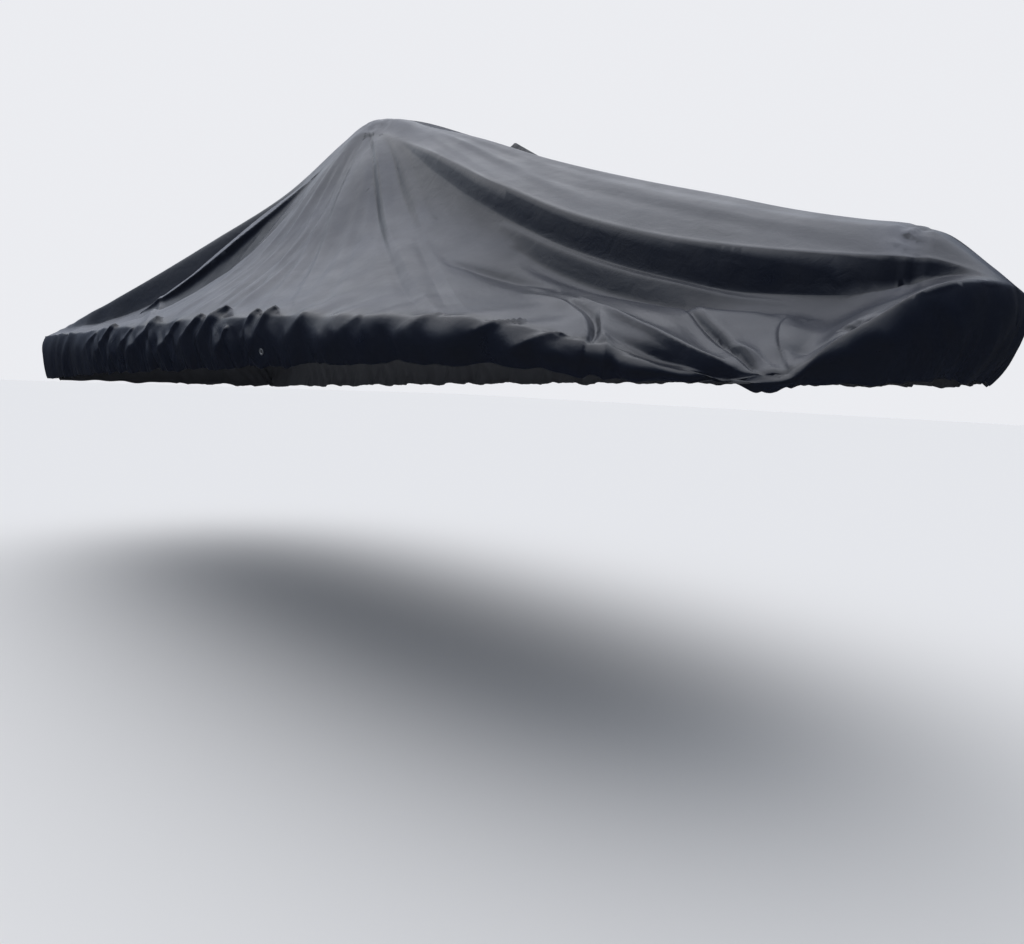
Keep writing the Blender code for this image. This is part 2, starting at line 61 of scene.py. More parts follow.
# Cross sections. Heights are above the ground; each "at" is a share of the half width.
# centre: on the centreline. crest: top of the wall. shoulder: where the steep band starts.
# foot: where it ends. belly: the slack between there and the rim.
Section = namedtuple("Section", "x half centre crest_at crest shoulder_at shoulder "
                                "foot_at foot belly_at belly rim hem")
STARBOARD = [Section(*row) for row in (
    (-2.18, 0.795, 1.290, 0.860, 1.312, 0.895, 1.297, 0.925, 1.285, 0.960, 1.270, 1.256, 1.012),
    (-1.86, 0.816, 1.336, 0.855, 1.364, 0.896, 1.312, 0.926, 1.288, 0.961, 1.277, 1.270, 1.026),
    (-1.60, 0.840, 1.403, 0.777, 1.444, 0.822, 1.335, 0.910, 1.296, 0.954, 1.280, 1.272, 1.037),
    (-1.28, 0.870, 1.539, 0.617, 1.587, 0.676, 1.412, 0.789, 1.340, 0.893, 1.291, 1.270, 1.051),
    (-0.88, 0.909, 1.729, 0.424, 1.781, 0.480, 1.600, 0.592, 1.512, 0.804, 1.358, 1.281, 1.069),
    (-0.46, 0.934, 1.973, 0.221, 2.011, 0.276, 1.918, 0.350, 1.858, 0.699, 1.471, 1.280, 1.083),
    (-0.16, 0.945, 2.215, 0.097, 2.232, 0.220, 2.102, 0.295, 2.005, 0.625, 1.575, 1.290, 1.093),
    (0.00, 0.949, 2.320, 0.070, 2.304, 0.153, 2.222, 0.178, 2.185, 0.602, 1.595, 1.296, 1.098),
    (0.14, 0.950, 2.296, 0.061, 2.284, 0.133, 2.208, 0.152, 2.186, 0.600, 1.592, 1.294, 1.102),
    (0.34, 0.949, 2.222, 0.084, 2.203, 0.185, 2.119, 0.197, 2.102, 0.600, 1.570, 1.294, 1.109),
    (0.64, 0.946, 2.119, 0.110, 2.082, 0.269, 1.994, 0.284, 1.926, 0.630, 1.530, 1.294, 1.121),
    (1.04, 0.925, 1.962, 0.109, 1.923, 0.357, 1.806, 0.373, 1.709, 0.660, 1.450, 1.284, 1.137),
    (1.44, 0.870, 1.827, 0.108, 1.790, 0.389, 1.634, 0.406, 1.525, 0.676, 1.366, 1.271, 1.143),
    (1.76, 0.786, 1.729, 0.106, 1.697, 0.389, 1.540, 0.407, 1.424, 0.683, 1.312, 1.216, 1.130),
    (2.00, 0.685, 1.654, 0.105, 1.631, 0.378, 1.498, 0.398, 1.374, 0.690, 1.262, 1.158, 1.108),
    (2.20, 0.568, 1.603, 0.112, 1.586, 0.359, 1.475, 0.379, 1.366, 0.696, 1.242, 1.136, 1.110),
    (2.30, 0.505, 1.582, 0.119, 1.569, 0.341, 1.467, 0.360, 1.382, 0.686, 1.300, 1.226, 1.124),
    (2.38, 0.460, 1.552, 0.116, 1.543, 0.298, 1.462, 0.316, 1.403, 0.640, 1.345, 1.285, 1.132),
    (2.44, 0.440, 1.505, 0.120, 1.498, 0.268, 1.446, 0.284, 1.415, 0.620, 1.374, 1.325, 1.138),
    (2.50, 0.430, 1.450, 0.130, 1.447, 0.255, 1.422, 0.300, 1.408, 0.600, 1.385, 1.352, 1.146),
    (2.56, 0.425, 1.390, 0.140, 1.389, 0.250, 1.388, 0.300, 1.386, 0.600, 1.378, 1.365, 1.152))]
PORT = [Section(*row) for row in (
    (-2.18, 0.795, 1.290, 0.860, 1.308, 0.895, 1.295, 0.925, 1.284, 0.960, 1.270, 1.257, 1.014),
    (-1.86, 0.816, 1.336, 0.850, 1.358, 0.896, 1.312, 0.928, 1.291, 0.962, 1.278, 1.270, 1.027),
    (-1.60, 0.840, 1.403, 0.765, 1.436, 0.865, 1.325, 0.912, 1.297, 0.956, 1.281, 1.274, 1.036),
    (-1.28, 0.870, 1.539, 0.605, 1.578, 0.735, 1.395, 0.795, 1.338, 0.896, 1.293, 1.276, 1.050),
    (-0.88, 0.909, 1.729, 0.412, 1.772, 0.545, 1.572, 0.612, 1.495, 0.812, 1.360, 1.282, 1.068),
    (-0.46, 0.934, 1.973, 0.212, 2.006, 0.348, 1.866, 0.420, 1.780, 0.710, 1.474, 1.286, 1.086),
    (-0.16, 0.945, 2.215, 0.092, 2.230, 0.222, 2.094, 0.305, 1.992, 0.640, 1.575, 1.290, 1.098),
    (0.00, 0.949, 2.320, 0.070, 2.304, 0.153, 2.222, 0.270, 2.044, 0.620, 1.590, 1.294, 1.104),
    (0.14, 0.950, 2.296, 0.061, 2.284, 0.133, 2.208, 0.250, 2.066, 0.620, 1.586, 1.294, 1.108),
    (0.64, 0.946, 2.119, 0.110, 2.084, 0.258, 2.004, 0.325, 1.915, 0.640, 1.532, 1.297, 1.124),
    (1.04, 0.925, 1.962, 0.109, 1.926, 0.340, 1.822, 0.408, 1.725, 0.660, 1.462, 1.300, 1.136),
    (1.44, 0.870, 1.827, 0.108, 1.793, 0.378, 1.652, 0.448, 1.546, 0.686, 1.386, 1.306, 1.142),
    (1.76, 0.786, 1.729, 0.106, 1.700, 0.382, 1.560, 0.452, 1.458, 0.690, 1.352, 1.315, 1.144),
    (2.00, 0.685, 1.654, 0.105, 1.634, 0.375, 1.518, 0.448, 1.420, 0.698, 1.345, 1.325, 1.146),
    (2.18, 0.582, 1.607, 0.111, 1.592, 0.360, 1.490, 0.425, 1.410, 0.700, 1.350, 1.336, 1.148),
    (2.38, 0.460, 1.552, 0.116, 1.543, 0.298, 1.466, 0.355, 1.412, 0.640, 1.366, 1.346, 1.150),
    (2.50, 0.430, 1.450, 0.130, 1.447, 0.255, 1.422, 0.305, 1.408, 0.600, 1.380, 1.356, 1.152),
    (2.56, 0.425, 1.390, 0.140, 1.389, 0.250, 1.388, 0.300, 1.386, 0.600, 1.378, 1.365, 1.152))]

BROW = 0.12                  # the cloth runs straight from the crest to this near the shoulder

# Folds in the top: a soft ridge (+) or trough (-) along a bend through three plan points.
Fold = namedtuple("Fold", "x0 y0 x1 y1 x2 y2 height width")
FOLDS = [Fold(*row) for row in (
    # pulled down from the peak to the starboard rim
    (0.03, -0.14, 0.42, -0.39, 1.18, -0.80, 0.016, 0.050),
    (0.12, -0.16, 0.55, -0.33, 1.34, -0.83, 0.009, 0.045),
    (0.10, -0.22, 0.25, -0.48, 0.63, -0.82, -0.014, 0.075),
    # from the peak towards the stern quarter
    (-0.26, -0.25, -0.62, -0.475, -1.12, -0.615, 0.036, 0.038),
    (-0.18, -0.37, -0.58, -0.615, -1.02, -0.710, -0.070, 0.058),
    # slack below the steep band: two troughs with a ridge between
    (1.24, -0.410, 1.62, -0.425, 2.06, -0.335, -0.030, 0.034),
    (1.08, -0.54, 1.45, -0.49, 1.92, -0.60, -0.018, 0.055),
    (1.40, -0.54, 1.68, -0.61, 2.05, -0.63, 0.016, 0.045),
    # the pocket short of the bow: a creased flap and the bow's own ridge
    (1.86, -0.43, 2.00, -0.38, 2.16, -0.32, 0.014, 0.045),
    (2.14, -0.33, 2.18, -0.42, 2.20, -0.53, 0.012, 0.040),
    (1.88, -0.45, 1.98, -0.52, 2.10, -0.61, -0.016, 0.040),
    # port side: a few plain ones
    (0.05, 0.16, 0.45, 0.42, 1.12, 0.80, 0.013, 0.060),
    (0.10, 0.25, 0.24, 0.52, 0.38, 0.85, -0.010, 0.080),
    (-0.25, 0.30, -0.65, 0.47, -1.10, 0.64, 0.010, 0.060),
    (1.15, 0.54, 1.55, 0.60, 2.00, 0.56, -0.014, 0.060),
    # the aft panel between its two crests
    (-0.35, -0.06, -0.90, -0.02, -1.75, -0.34, -0.012, 0.080),
    (-0.40, 0.06, -1.00, 0.16, -1.80, 0.22, -0.010, 0.090))]

# Slack in the hanging skirt: a wave of this length and depth in each stretch of the rim.
Slack = namedtuple("Slack", "x_from x_to wave depth phase")
SLACK = [Slack(*row) for row in (
    (-2.00, -1.15, 0.310, 0.006, 0.4),
    (-1.20, 0.65, 0.270, 0.008, 1.7),
    (0.60, 1.70, 0.420, 0.007, 0.2),
    (1.60, 2.45, 0.260, 0.010, 2.3))]


def cubic(t, width, start, start_slope, end, end_slope):
    """A cubic from start to end over a width, with the slopes given at its ends."""
    h00, h10 = (1 + 2 * t) * (1 - t) ** 2, t * (1 - t) ** 2
    h01, h11 = t * t * (3 - 2 * t), t * t * (t - 1)
    return h00 * start + h10 * width * start_slope + h01 * end + h11 * width * end_slope


def curve_through(xs, ys, at):
    """Smooth interpolation through the points that never overshoots them."""
    xs, ys = np.asarray(xs, float), np.asarray(ys, float)
    step = np.diff(xs)
    slope = np.diff(ys) / step
    tangent = np.zeros_like(ys)
    w1, w2 = 2 * step[1:] + step[:-1], step[1:] + 2 * step[:-1]
    same = slope[1:] * slope[:-1] > 0
    safe_a = np.where(same, slope[:-1], 1.0)
    safe_b = np.where(same, slope[1:], 1.0)
    tangent[1:-1] = np.where(same, (w1 + w2) / (w1 / safe_a + w2 / safe_b), 0.0)
    tangent[0], tangent[-1] = slope[0], slope[-1]
    at = np.clip(at, xs[0], xs[-1])
    k = np.clip(np.searchsorted(xs, at) - 1, 0, len(step) - 1)
    return cubic((at - xs[k]) / step[k], step[k], ys[k], tangent[k], ys[k + 1], tangent[k + 1])


def column(sections, name, x):
    return curve_through([s.x for s in sections], [getattr(s, name) for s in sections], x)


def rows_through(xs, ys, at):
    """Like curve_through, one curve and one place to each row, and level where each starts."""
    step = np.diff(xs, axis=1)
    slope = np.diff(ys, axis=1) / step
    w1, w2 = 2 * step[:, 1:] + step[:, :-1], step[:, 1:] + 2 * step[:, :-1]
    same = slope[:, 1:] * slope[:, :-1] > 0
    safe_a = np.where(same, slope[:, :-1], 1.0)
    safe_b = np.where(same, slope[:, 1:], 1.0)
    tangent = np.zeros_like(ys)
    tangent[:, 1:-1] = np.where(same, (w1 + w2) / (w1 / safe_a + w2 / safe_b), 0.0)
    tangent[:, -1] = slope[:, -1]
    row = np.arange(len(at))
    k = np.clip((xs < at[:, None]).sum(axis=1) - 1, 0, step.shape[1] - 1)
    width = step[row, k]
    return cubic(np.clip((at - xs[row, k]) / width, 0, 1), width, ys[row, k], tangent[row, k],
                 ys[row, k + 1], tangent[row, k + 1])


def top_height(x, y):
    """Height of the spread cloth over the plan point, before its folds."""
    x, y = np.atleast_1d(np.asarray(x, float)), np.atleast_1d(np.asarray(y, float))
    height = np.empty_like(x)
    for side, sections in ((y < 0, STARBOARD), (y >= 0, PORT)):
        if not side.any():
            continue
        half, centre, crest_at, crest, shoulder_at, shoulder, foot_at, foot, belly_at, belly, rim = (
            column(sections, name, x[side]) for name in Section._fields[1:-1])
        brow_at = shoulder_at + BROW * (crest_at - shoulder_at)
        brow = shoulder + BROW * (crest - shoulder)
        zero = np.zeros_like(half)
        places = np.stack([zero, crest_at, brow_at, shoulder_at, foot_at, belly_at, zero + 1.0], axis=1)
        levels = np.stack([centre, crest, brow, shoulder, foot, belly, rim], axis=1)
        height[side] = rows_through(places, levels, np.abs(y[side]) / half)
    return height


def bend(c, t):
    """Point at t on the bend of a fold or crease."""
    k0, k1, k2 = (1 - t) ** 2, 2 * t * (1 - t), t * t
    return k0 * c.x0 + k1 * c.x1 + k2 * c.x2, k0 * c.y0 + k1 * c.y1 + k2 * c.y2


def nearest_on_bend(c, x, y, parts):
    """Distance to the bend, taken as straight parts; which side (left is +); how far along it."""
    near = np.full_like(x, 9.0)
    side, along = np.zeros_like(x), np.zeros_like(x)
    steps = np.linspace(0, 1, parts + 1)
    for a, b in zip(steps[:-1], steps[1:]):
        ax, ay = bend(c, a)
        bx, by = bend(c, b)
        dx, dy = bx - ax, by - ay
        t = np.clip(((x - ax) * dx + (y - ay) * dy) / (dx * dx + dy * dy), 0, 1)
        off_x, off_y = x - ax - t * dx, y - ay - t * dy
        distance = np.hypot(off_x, off_y)
        closer = distance < near
        near[closer] = distance[closer]
        side[closer] = (dx * off_y - dy * off_x)[closer]
        along[closer] = (a + t * (b - a))[closer]
    return near, side, along


def fold_height(x, y):
    """What the folds add to the height over the plan point."""
    total = np.zeros_like(x)
    for f in FOLDS:
        near, _, along = nearest_on_bend(f, x, y, 24)
        fade = np.sin(np.pi * np.clip(along, 0.03, 0.97)) ** 0.6
        total += f.height * fade * np.exp(-(near / f.width) ** 2)
    return total


def outline_path(samples=1200):
    """The starboard half of the rim outline, stern centreline to bow tip, at even steps."""
    pts = [Vector((p.x, -p.y, 0.0)) for p in OUTLINE]
    ends = [Vector((pts[1].x, -pts[1].y, 0)), *pts, Vector((pts[-2].x, -pts[-2].y, 0))]
    path = []
    for k in range(1, len(ends) - 2):
        a, b, c, d = ends[k - 1:k + 3]
        for n in range(24):
            t = n / 24
            path.append(0.5 * ((2 * b) + (c - a) * t + (2 * a - 5 * b + 4 * c - d) * t ** 2
                               + (3 * b - 3 * c + d - a) * t ** 3))
    path.append(pts[-1])
    path = np.array([(p.x, p.y) for p in path])
    run = np.concatenate([[0], np.cumsum(np.hypot(*np.diff(path, axis=0).T))])
    even = np.linspace(0, run[-1], samples)
    return np.stack([np.interp(even, run, path[:, 0]), np.interp(even, run, path[:, 1])], axis=1), run[-1]


RIM, RIM_LENGTH = outline_path()
STERN_CORNER, BOW_CORNER = 0.775 / RIM_LENGTH, 1 - 0.41 / RIM_LENGTH   # shares of the half outline


def rim_point(share, port=False):
    """Plan point on the rim at a share of the half outline."""
    k = np.clip(share, 0, 1) * (len(RIM) - 1)
    i = np.arange(len(RIM))
    x, y = np.interp(k, i, RIM[:, 0]), np.interp(k, i, RIM[:, 1])
    return np.stack([x, np.where(port, -y, y)], axis=-1)


def rim_outward(share, port=False):
    a, b = rim_point(np.clip(share - 0.004, 0, 1)), rim_point(np.clip(share + 0.004, 0, 1))
    along = (b - a) / np.maximum(np.linalg.norm(b - a, axis=-1, keepdims=True), 1e-9)
    out = np.stack([along[..., 1], -along[..., 0]], axis=-1)
    out[..., 1] = np.where(port, -out[..., 1], out[..., 1])
    end = (share <= 0.003) | (share >= 0.997)
    out[..., 1] = np.where(end, 0.0, out[..., 1])
    return out / np.linalg.norm(out, axis=-1, keepdims=True)


def side_share(s):
    return STERN_CORNER + (BOW_CORNER - STERN_CORNER) * s


def end_share(t, bow):
    """Share of the half outline, and the side, for a place across the stern or bow end."""
    port = t > 0.5
    q = np.abs(1 - 2 * t)
    corner = np.where(bow, 1 - BOW_CORNER, STERN_CORNER)
    return np.where(bow, 1 - q * corner, q * corner), port


def plan_point(s, t):
    """Plan point of the spread cloth: s runs stern to bow, t starboard to port."""
    sb, pt = rim_point(side_share(s)), rim_point(side_share(s), True)
    st = rim_point(*end_share(t, False))
    bw = rim_point(*end_share(t, True))
    s_, t_ = s[..., None], t[..., None]
    c00, c01 = rim_point(STERN_CORNER), rim_point(STERN_CORNER, True)
    c10, c11 = rim_point(BOW_CORNER), rim_point(BOW_CORNER, True)
    return ((1 - t_) * sb + t_ * pt + (1 - s_) * st + s_ * bw
            - (1 - s_) * (1 - t_) * c00 - (1 - s_) * t_ * c01 - s_ * (1 - t_) * c10 - s_ * t_ * c11)


def skirt_point(share, port, down):
    """Point of the hanging skirt: down runs 0 at the rim to 1 at the hem."""
    flat = rim_point(share, port)
    out = rim_outward(share, port)
    x = flat[..., 0]
    rim = top_height(x.ravel(), flat[..., 1].ravel()).reshape(x.shape)
    hem = np.where(port, column(PORT, "hem", x), column(STARBOARD, "hem", x))
    run = share * RIM_LENGTH
    sway = np.zeros_like(x)
    for k in SLACK:
        inside = np.clip((x - k.x_from) / 0.15, 0, 1) * np.clip((k.x_to - x) / 0.15, 0, 1)
        turn = 2 * math.pi * run / k.wave + k.phase + np.where(port, 1.9, 0.0)
        sway += k.depth * inside * (np.sin(turn) + 0.45 * np.sin(2.3 * turn + 1.0))
    stern = np.clip((-2.04 - x) / 0.09, 0, 1)
    tuck = 0.004 + 0.060 * np.clip((x - 2.0) / 0.55, 0, 1) ** 2 + 0.100 * stern
    bulge = (0.020 + 0.008 * stern) * np.sin(math.pi * down) ** 0.8
    offset = bulge + sway * np.sin(math.pi * np.clip(down, 0, 1) * 0.72)
    offset = offset - tuck * down ** 2
    ripple = 0.004 * np.sin(run * 17.0 + np.where(port, 2.0, 0.0)) + 0.003 * np.sin(run * 41.0)
    z = rim + (hem + ripple - rim) * down
    return np.concatenate([flat + out * offset[..., None], z[..., None]], axis=-1)


def across(x, t):
    """Place across the cloth of a mesh line, so that the lines follow the sections' edges."""
    line = np.abs(t - 0.5) * 2 * LINE_AT["rim"]
    share = np.zeros_like(line)
    marks = list(LINE_AT.values())
    for port, sections in ((False, STARBOARD), (True, PORT)):
        edges = [np.zeros_like(x)] + [column(sections, name + "_at", x)
                                      for name in list(LINE_AT)[1:-1]] + [np.ones_like(x)]
        side = np.zeros_like(line)
        for k in range(len(marks) - 1):
            part = np.clip((line - marks[k]) / (marks[k + 1] - marks[k]), 0, 1)
            side += part * (edges[k + 1] - edges[k])
        share = np.where((t > 0.5) == port, side, share)
    return 0.5 + np.where(t < 0.5, -0.5, 0.5) * share


def place_across(s, t):
    """Where mesh line t crosses the cloth at s: the share of the half width is the sections'."""
    width = np.abs(rim_point(side_share(s))[..., 1])
    x = rim_point(side_share(s))[..., 0]
    for _ in range(6):
        lines = across(x, t)
        share = np.abs(lines - 0.5) * 2
        stretch = np.where(t > 0.5, column(PORT, "half", x), column(STARBOARD, "half", x)) / width
        share = share * (1 + (stretch - 1) * (1 - share ** 2))
        place = 0.5 + np.where(t < 0.5, -0.5, 0.5) * share
        x = plan_point(s, place)[..., 0]
    return place


def surface(i, j, rings, span_u, span_v):
    """Point of the outer face at grid place (i, j), skirt rings included."""
    count_u, count_v = span_u + 2 * rings, span_v + 2 * rings
    edge = np.stack([i, count_u - i, j, count_v - j])
    ring = edge.min(axis=0)
    which = edge.argmin(axis=0)
    in_u = np.clip((i - rings) / span_u, 0, 1)
    in_v = np.clip((j - rings) / span_v, 0, 1)
    flat = plan_point(in_u, place_across(in_u, in_v))
    z = top_height(flat[..., 0].ravel(), flat[..., 1].ravel()).reshape(in_u.shape)
    z = z + fold_height(flat[..., 0].ravel(), flat[..., 1].ravel()).reshape(in_u.shape)
    pts = np.concatenate([flat, z[..., None]], axis=-1)
    skirt = ring < rings
    down = np.interp(ring * (len(SKIRT_DROP) - 1) / rings, np.arange(len(SKIRT_DROP)), SKIRT_DROP)
    # share along the side of this ring, so that the rings stay above one another
    s = np.clip((i - ring) / np.maximum(count_u - 2 * ring, 1e-9), 0, 1)
    t = np.clip((j - ring) / np.maximum(count_v - 2 * ring, 1e-9), 0, 1)
    on_side = which >= 2
    end, end_port = end_share(place_across(np.where(which == 1, 1.0, 0.0), t), which == 1)
    share = np.where(on_side, side_share(s), end)
    port = np.where(on_side, which == 3, end_port)
    hang = skirt_point(share, port, np.where(skirt, down, 0.0))
    return np.where(skirt[..., None], hang, pts)


# ---- creases of the real cloth
# A crease runs along a bend through three places. It is a ridge (+) or a trough (-) whose
# left and right flanks, looking along it, have their own widths.
Crease = namedtuple("Crease", "x0 y0 x1 y1 x2 y2 height left right")

# Places are plan points (x, y) on the spread cloth.
TOP_CREASES = [Crease(*row) for row in (
    # drawn from the peak to the starboard rim: a sharp trough with a pleat before it
    (0.08, -0.15, 0.42, -0.395, 1.24, -0.84, -0.013, 0.012, 0.026),
    (0.11, -0.15, 0.47, -0.375, 1.30, -0.83, 0.011, 0.030, 0.014),
    (0.16, -0.15, 0.62, -0.330, 1.38, -0.84, -0.008, 0.014, 0.030),
    (0.18, -0.15, 0.67, -0.315, 1.43, -0.82, 0.008, 0.050, 0.016),
    # the broad facet that faces forward, and the smaller ones aft of it
    (0.07, -0.20, 0.24, -0.500, 0.62, -0.86, 0.016, 0.090, 0.020),
    (0.04, -0.22, 0.16, -0.520, 0.46, -0.88, 0.010, 0.050, 0.014),
    (0.00, -0.24, 0.06, -0.550, 0.30, -0.88, 0.009, 0.045, 0.013),
    (-0.04, -0.22, -0.06, -0.560, 0.10, -0.88, 0.009, 0.045, 0.013),
    (-0.08, -0.26, -0.16, -0.560, -0.04, -0.90, 0.008, 0.040, 0.012),
    (-0.12, -0.28, -0.28, -0.560, -0.20, -0.88, 0.009, 0.040, 0.013),
    # from the peak to the stern quarter
    (-0.20, -0.27, -0.57, -0.515, -1.10, -0.645, 0.026, 0.014, 0.050),
    (-0.22, -0.28, -0.57, -0.517, -1.12, -0.648, 0.008, 0.006, 0.008),
    (-0.50, -0.30, -0.95, -0.570, -1.66, -0.740, 0.012, 0.030, 0.022),
    (-0.22, -0.34, -0.46, -0.560, -0.66, -0.78, 0.009, 0.034, 0.014),
    (-1.02, -0.585, -0.74, -0.740, -0.42, -0.92, 0.016, 0.012, 0.030),
    # the slack under the steep band
    (1.22, -0.400, 1.60, -0.415, 2.08, -0.330, -0.010, 0.016, 0.034),
    (1.02, -0.53, 1.22, -0.505, 1.44, -0.485, -0.014, 0.018, 0.024),
    (1.36, -0.50, 1.58, -0.545, 1.72, -0.640, 0.012, 0.026, 0.018),
    (0.86, -0.47, 0.94, -0.500, 1.04, -0.520, -0.005, 0.013, 0.018),
    (1.12, -0.364, 1.58, -0.388, 2.10, -0.265, 0.010, 0.010, 0.018),
    # the ridge pane: long soft streaks
    (0.45, -0.10, 1.10, -0.120, 1.90, -0.110, 0.003, 0.040, 0.040),
    (0.80, -0.17, 1.40, -0.190, 2.10, -0.150, -0.003, 0.040, 0.040),
    (1.30, -0.12, 1.80, -0.150, 2.26, -0.120, 0.003, 0.034, 0.026),
    # the pocket short of the bow: the flap's upper edge, its fore edge and its long crease
    (1.80, -0.385, 1.99, -0.375, 2.13, -0.310, 0.020, 0.010, 0.060),
    (2.13, -0.315, 2.10, -0.430, 2.25, -0.570, 0.014, 0.034, 0.007),
    (1.83, -0.380, 2.00, -0.520, 2.18, -0.585, -0.015, 0.007, 0.008),
    (1.84, -0.362, 2.02, -0.505, 2.20, -0.575, 0.009, 0.028, 0.009),
    (2.04, -0.535, 2.12, -0.510, 2.20, -0.565, 0.007, 0.018, 0.010),
    # the crest that bounds the pocket, and the steep face below it
    (1.50, -0.500, 1.80, -0.690, 2.18, -0.582, 0.018, 0.040, 0.012),
    (1.79, -0.690, 1.97, -0.680, 2.19, -0.602, -0.020, 0.022, 0.040),
    (1.82, -0.775, 1.92, -0.755, 2.02, -0.700, 0.016, 0.022, 0.024),
    (2.19, -0.475, 2.28, -0.440, 2.38, -0.400, -0.012, 0.018, 0.024),
    (2.27, -0.400, 2.31, -0.422, 2.35, -0.440, -0.012, 0.006, 0.008),
    # the lobe of slack at the rim aft of the pocket
    (1.45, -0.585, 1.72, -0.620, 1.79, -0.770, 0.015, 0.014, 0.034),
    (1.62, -0.600, 1.78, -0.640, 1.80, -0.770, -0.018, 0.012, 0.012),
    (1.72, -0.610, 1.78, -0.680, 1.86, -0.780, 0.014, 0.020, 0.012),
    # port side
    (0.10, 0.20, 0.40, 0.41, 1.05, 0.80, 0.011, 0.040, 0.024),
    (0.13, 0.19, 0.46, 0.39, 1.12, 0.79, -0.009, 0.030, 0.024),
    (0.04, 0.22, 0.12, 0.54, 0.30, 0.87, 0.012, 0.030, 0.070),
    (-0.14, 0.26, -0.50, 0.46, -1.00, 0.66, 0.011, 0.040, 0.026),
    (-0.12, 0.34, -0.34, 0.62, -0.55, 0.84, 0.008, 0.034, 0.026),
    (0.90, 0.46, 1.40, 0.53, 1.98, 0.54, 0.010, 0.038, 0.038))]

# Places are (run along the rim from amidships, drop below the rim); a drop below zero is
# on the top. Each pleat leans forward as it climbs, and stops short at its upper tip.
RIM_PLEATS = [Crease(*row) for row in (
    (-1.30, 0.12, -1.16, 0.07, -1.02, 0.01, 0.010, 0.040, 0.030),
    (-1.02, 0.14, -0.90, 0.06, -0.78, -0.03, 0.022, 0.040, 0.026),
    (-0.80, 0.16, -0.64, 0.08, -0.52, 0.00, 0.012, 0.034, 0.026),
    (-0.60, 0.15, -0.42, 0.05, -0.27, -0.04, 0.026, 0.060, 0.030),
    (-0.30, 0.17, -0.16, 0.08, -0.04, 0.00, 0.014, 0.036, 0.024),
    (-0.06, 0.14, 0.04, 0.05, 0.13, -0.03, 0.022, 0.040, 0.024),
    (0.10, 0.12, 0.20, 0.02, 0.275, -0.065, 0.036, 0.060, 0.022),
    (0.27, 0.17, 0.31, 0.10, 0.36, 0.03, 0.010, 0.022, 0.022),
    (0.42, 0.12, 0.48, 0.03, 0.52, -0.035, 0.024, 0.040, 0.020),
    (0.53, 0.11, 0.58, 0.02, 0.61, -0.045, 0.024, 0.036, 0.018),
    (0.68, 0.12, 0.74, 0.06, 0.82, -0.01, 0.008, 0.040, 0.030),
    (0.94, 0.11, 1.00, 0.05, 1.08, -0.01, 0.007, 0.040, 0.030),
    (1.20, 0.10, 1.26, 0.03, 1.38, -0.03, 0.008, 0.034, 0.026),
    (1.46, 0.06, 1.54, 0.01, 1.62, -0.05, 0.016, 0.026, 0.016),
    (1.56, 0.11, 1.64, 0.04, 1.76, -0.02, 0.012, 0.030, 0.018))]
PLEAT_LEAN = 0.45            # how far a pleat leans forward, as a share of its height
PORT_PLEAT_SHIFT, PORT_PLEAT_SHARE = 0.2, 0.7   # port's pleats are lower and lie elsewhere

# A fold that stands up just to port of the ridge, highest near its aft end.
STANDING_FOLDS = [Crease(0.98, 0.050, 0.87, 0.034, 0.78, 0.022, 0.030, 0.008, 0.008)]

# Where the cloth is drawn in under the edge of the pocket, with no rim of its own.
TUCKS = [Crease(1.78, -0.770, 1.99, -0.735, 2.22, -0.585, 0.050, 0.050, 0.060)]
TUCK_WAY = (-0.44, 0.90)

# Where the grey of dust and painted sky light lies thinner (-) or thicker (+) than elsewhere; thinner is
# painted shade, thicker a painted highlight.
DUST_LIGHT_CHANGES = [Crease(*row) for row in (
    # painted shade, no grey: outboard of the aft crest, and inboard of it
    (-0.15, -0.34, -0.57, -0.575, -1.10, -0.695, -1.0, 0.060, 0.038),
    (-0.30, -0.16, -0.85, -0.370, -1.95, -0.640, -1.0, 0.060, 0.060),
    # painted shade: the steep band, and the steep face of the pocket
    (0.10, -0.134, 0.37, -0.200, 0.80, -0.310, -1.0, 0.024, 0.020),
    (0.60, -0.250, 1.42, -0.460, 2.22, -0.205, -1.0, 0.022, 0.022),
    (1.78, -0.715, 1.99, -0.720, 2.22, -0.590, -1.0, 0.040, 0.050),
    # painted shade: the standing fold
    (1.02, 0.055, 0.87, 0.034, 0.74, 0.018, -1.8, 0.014, 0.014),
    # painted shade: thinner on the slack below the steep band, and a little on the ridge pane
    (1.20, -0.505, 1.65, -0.560, 2.12, -0.440, -0.48, 0.130, 0.130),
    (0.55, -0.070, 1.15, -0.110, 1.75, -0.070, -0.22, 0.150, 0.150),
    # painted highlight: thicker on the aft crest and on the bow
    (-0.22, -0.280, -0.57, -0.517, -1.16, -0.650, 2.0, 0.009, 0.016),
    (2.24, 0.00, 2.34, -0.090, 2.33, -0.220, 1.6, 0.050, 0.060))]

# Waves in the cloth: spacing in metres (radians round the peak for the fan), height and seed.
Wave = namedtuple("Wave", "spacing height seed")
HEM_PUCKERS = Wave(0.070, 0.0026, 11), Wave(0.031, 0.0014, 12)
SKIRT_FOLDS = Wave(0.13, 0.0045, 41)
PEAK_FAN = Wave(0.16, 0.0026, 21), Wave(0.075, 0.0012, 22)
PANE_STREAKS = Wave(0.080, 0.0006, 23)
RIM_SLACK = Wave(0.23, 0.0030, 24)

# Patches of small creases: at the peak, over the bow and at the bow's corner.
Crumple = namedtuple("Crumple", "x y size_x size_y height grain seed")
CRUMPLES = (Crumple(0.05, -0.09, 0.10, 0.07, 0.0016, 0.045, 31),
            Crumple(2.34, -0.10, 0.050, 0.12, 0.0030, 0.040, 32),
            Crumple(2.335, -0.43, 0.035, 0.035, 0.0040, 0.030, 33))


def step_up(value, low, high):
    """0 below low, 1 above high, smooth between."""
    t = np.clip((value - low) / (high - low), 0, 1)
    return t * t * (3 - 2 * t)


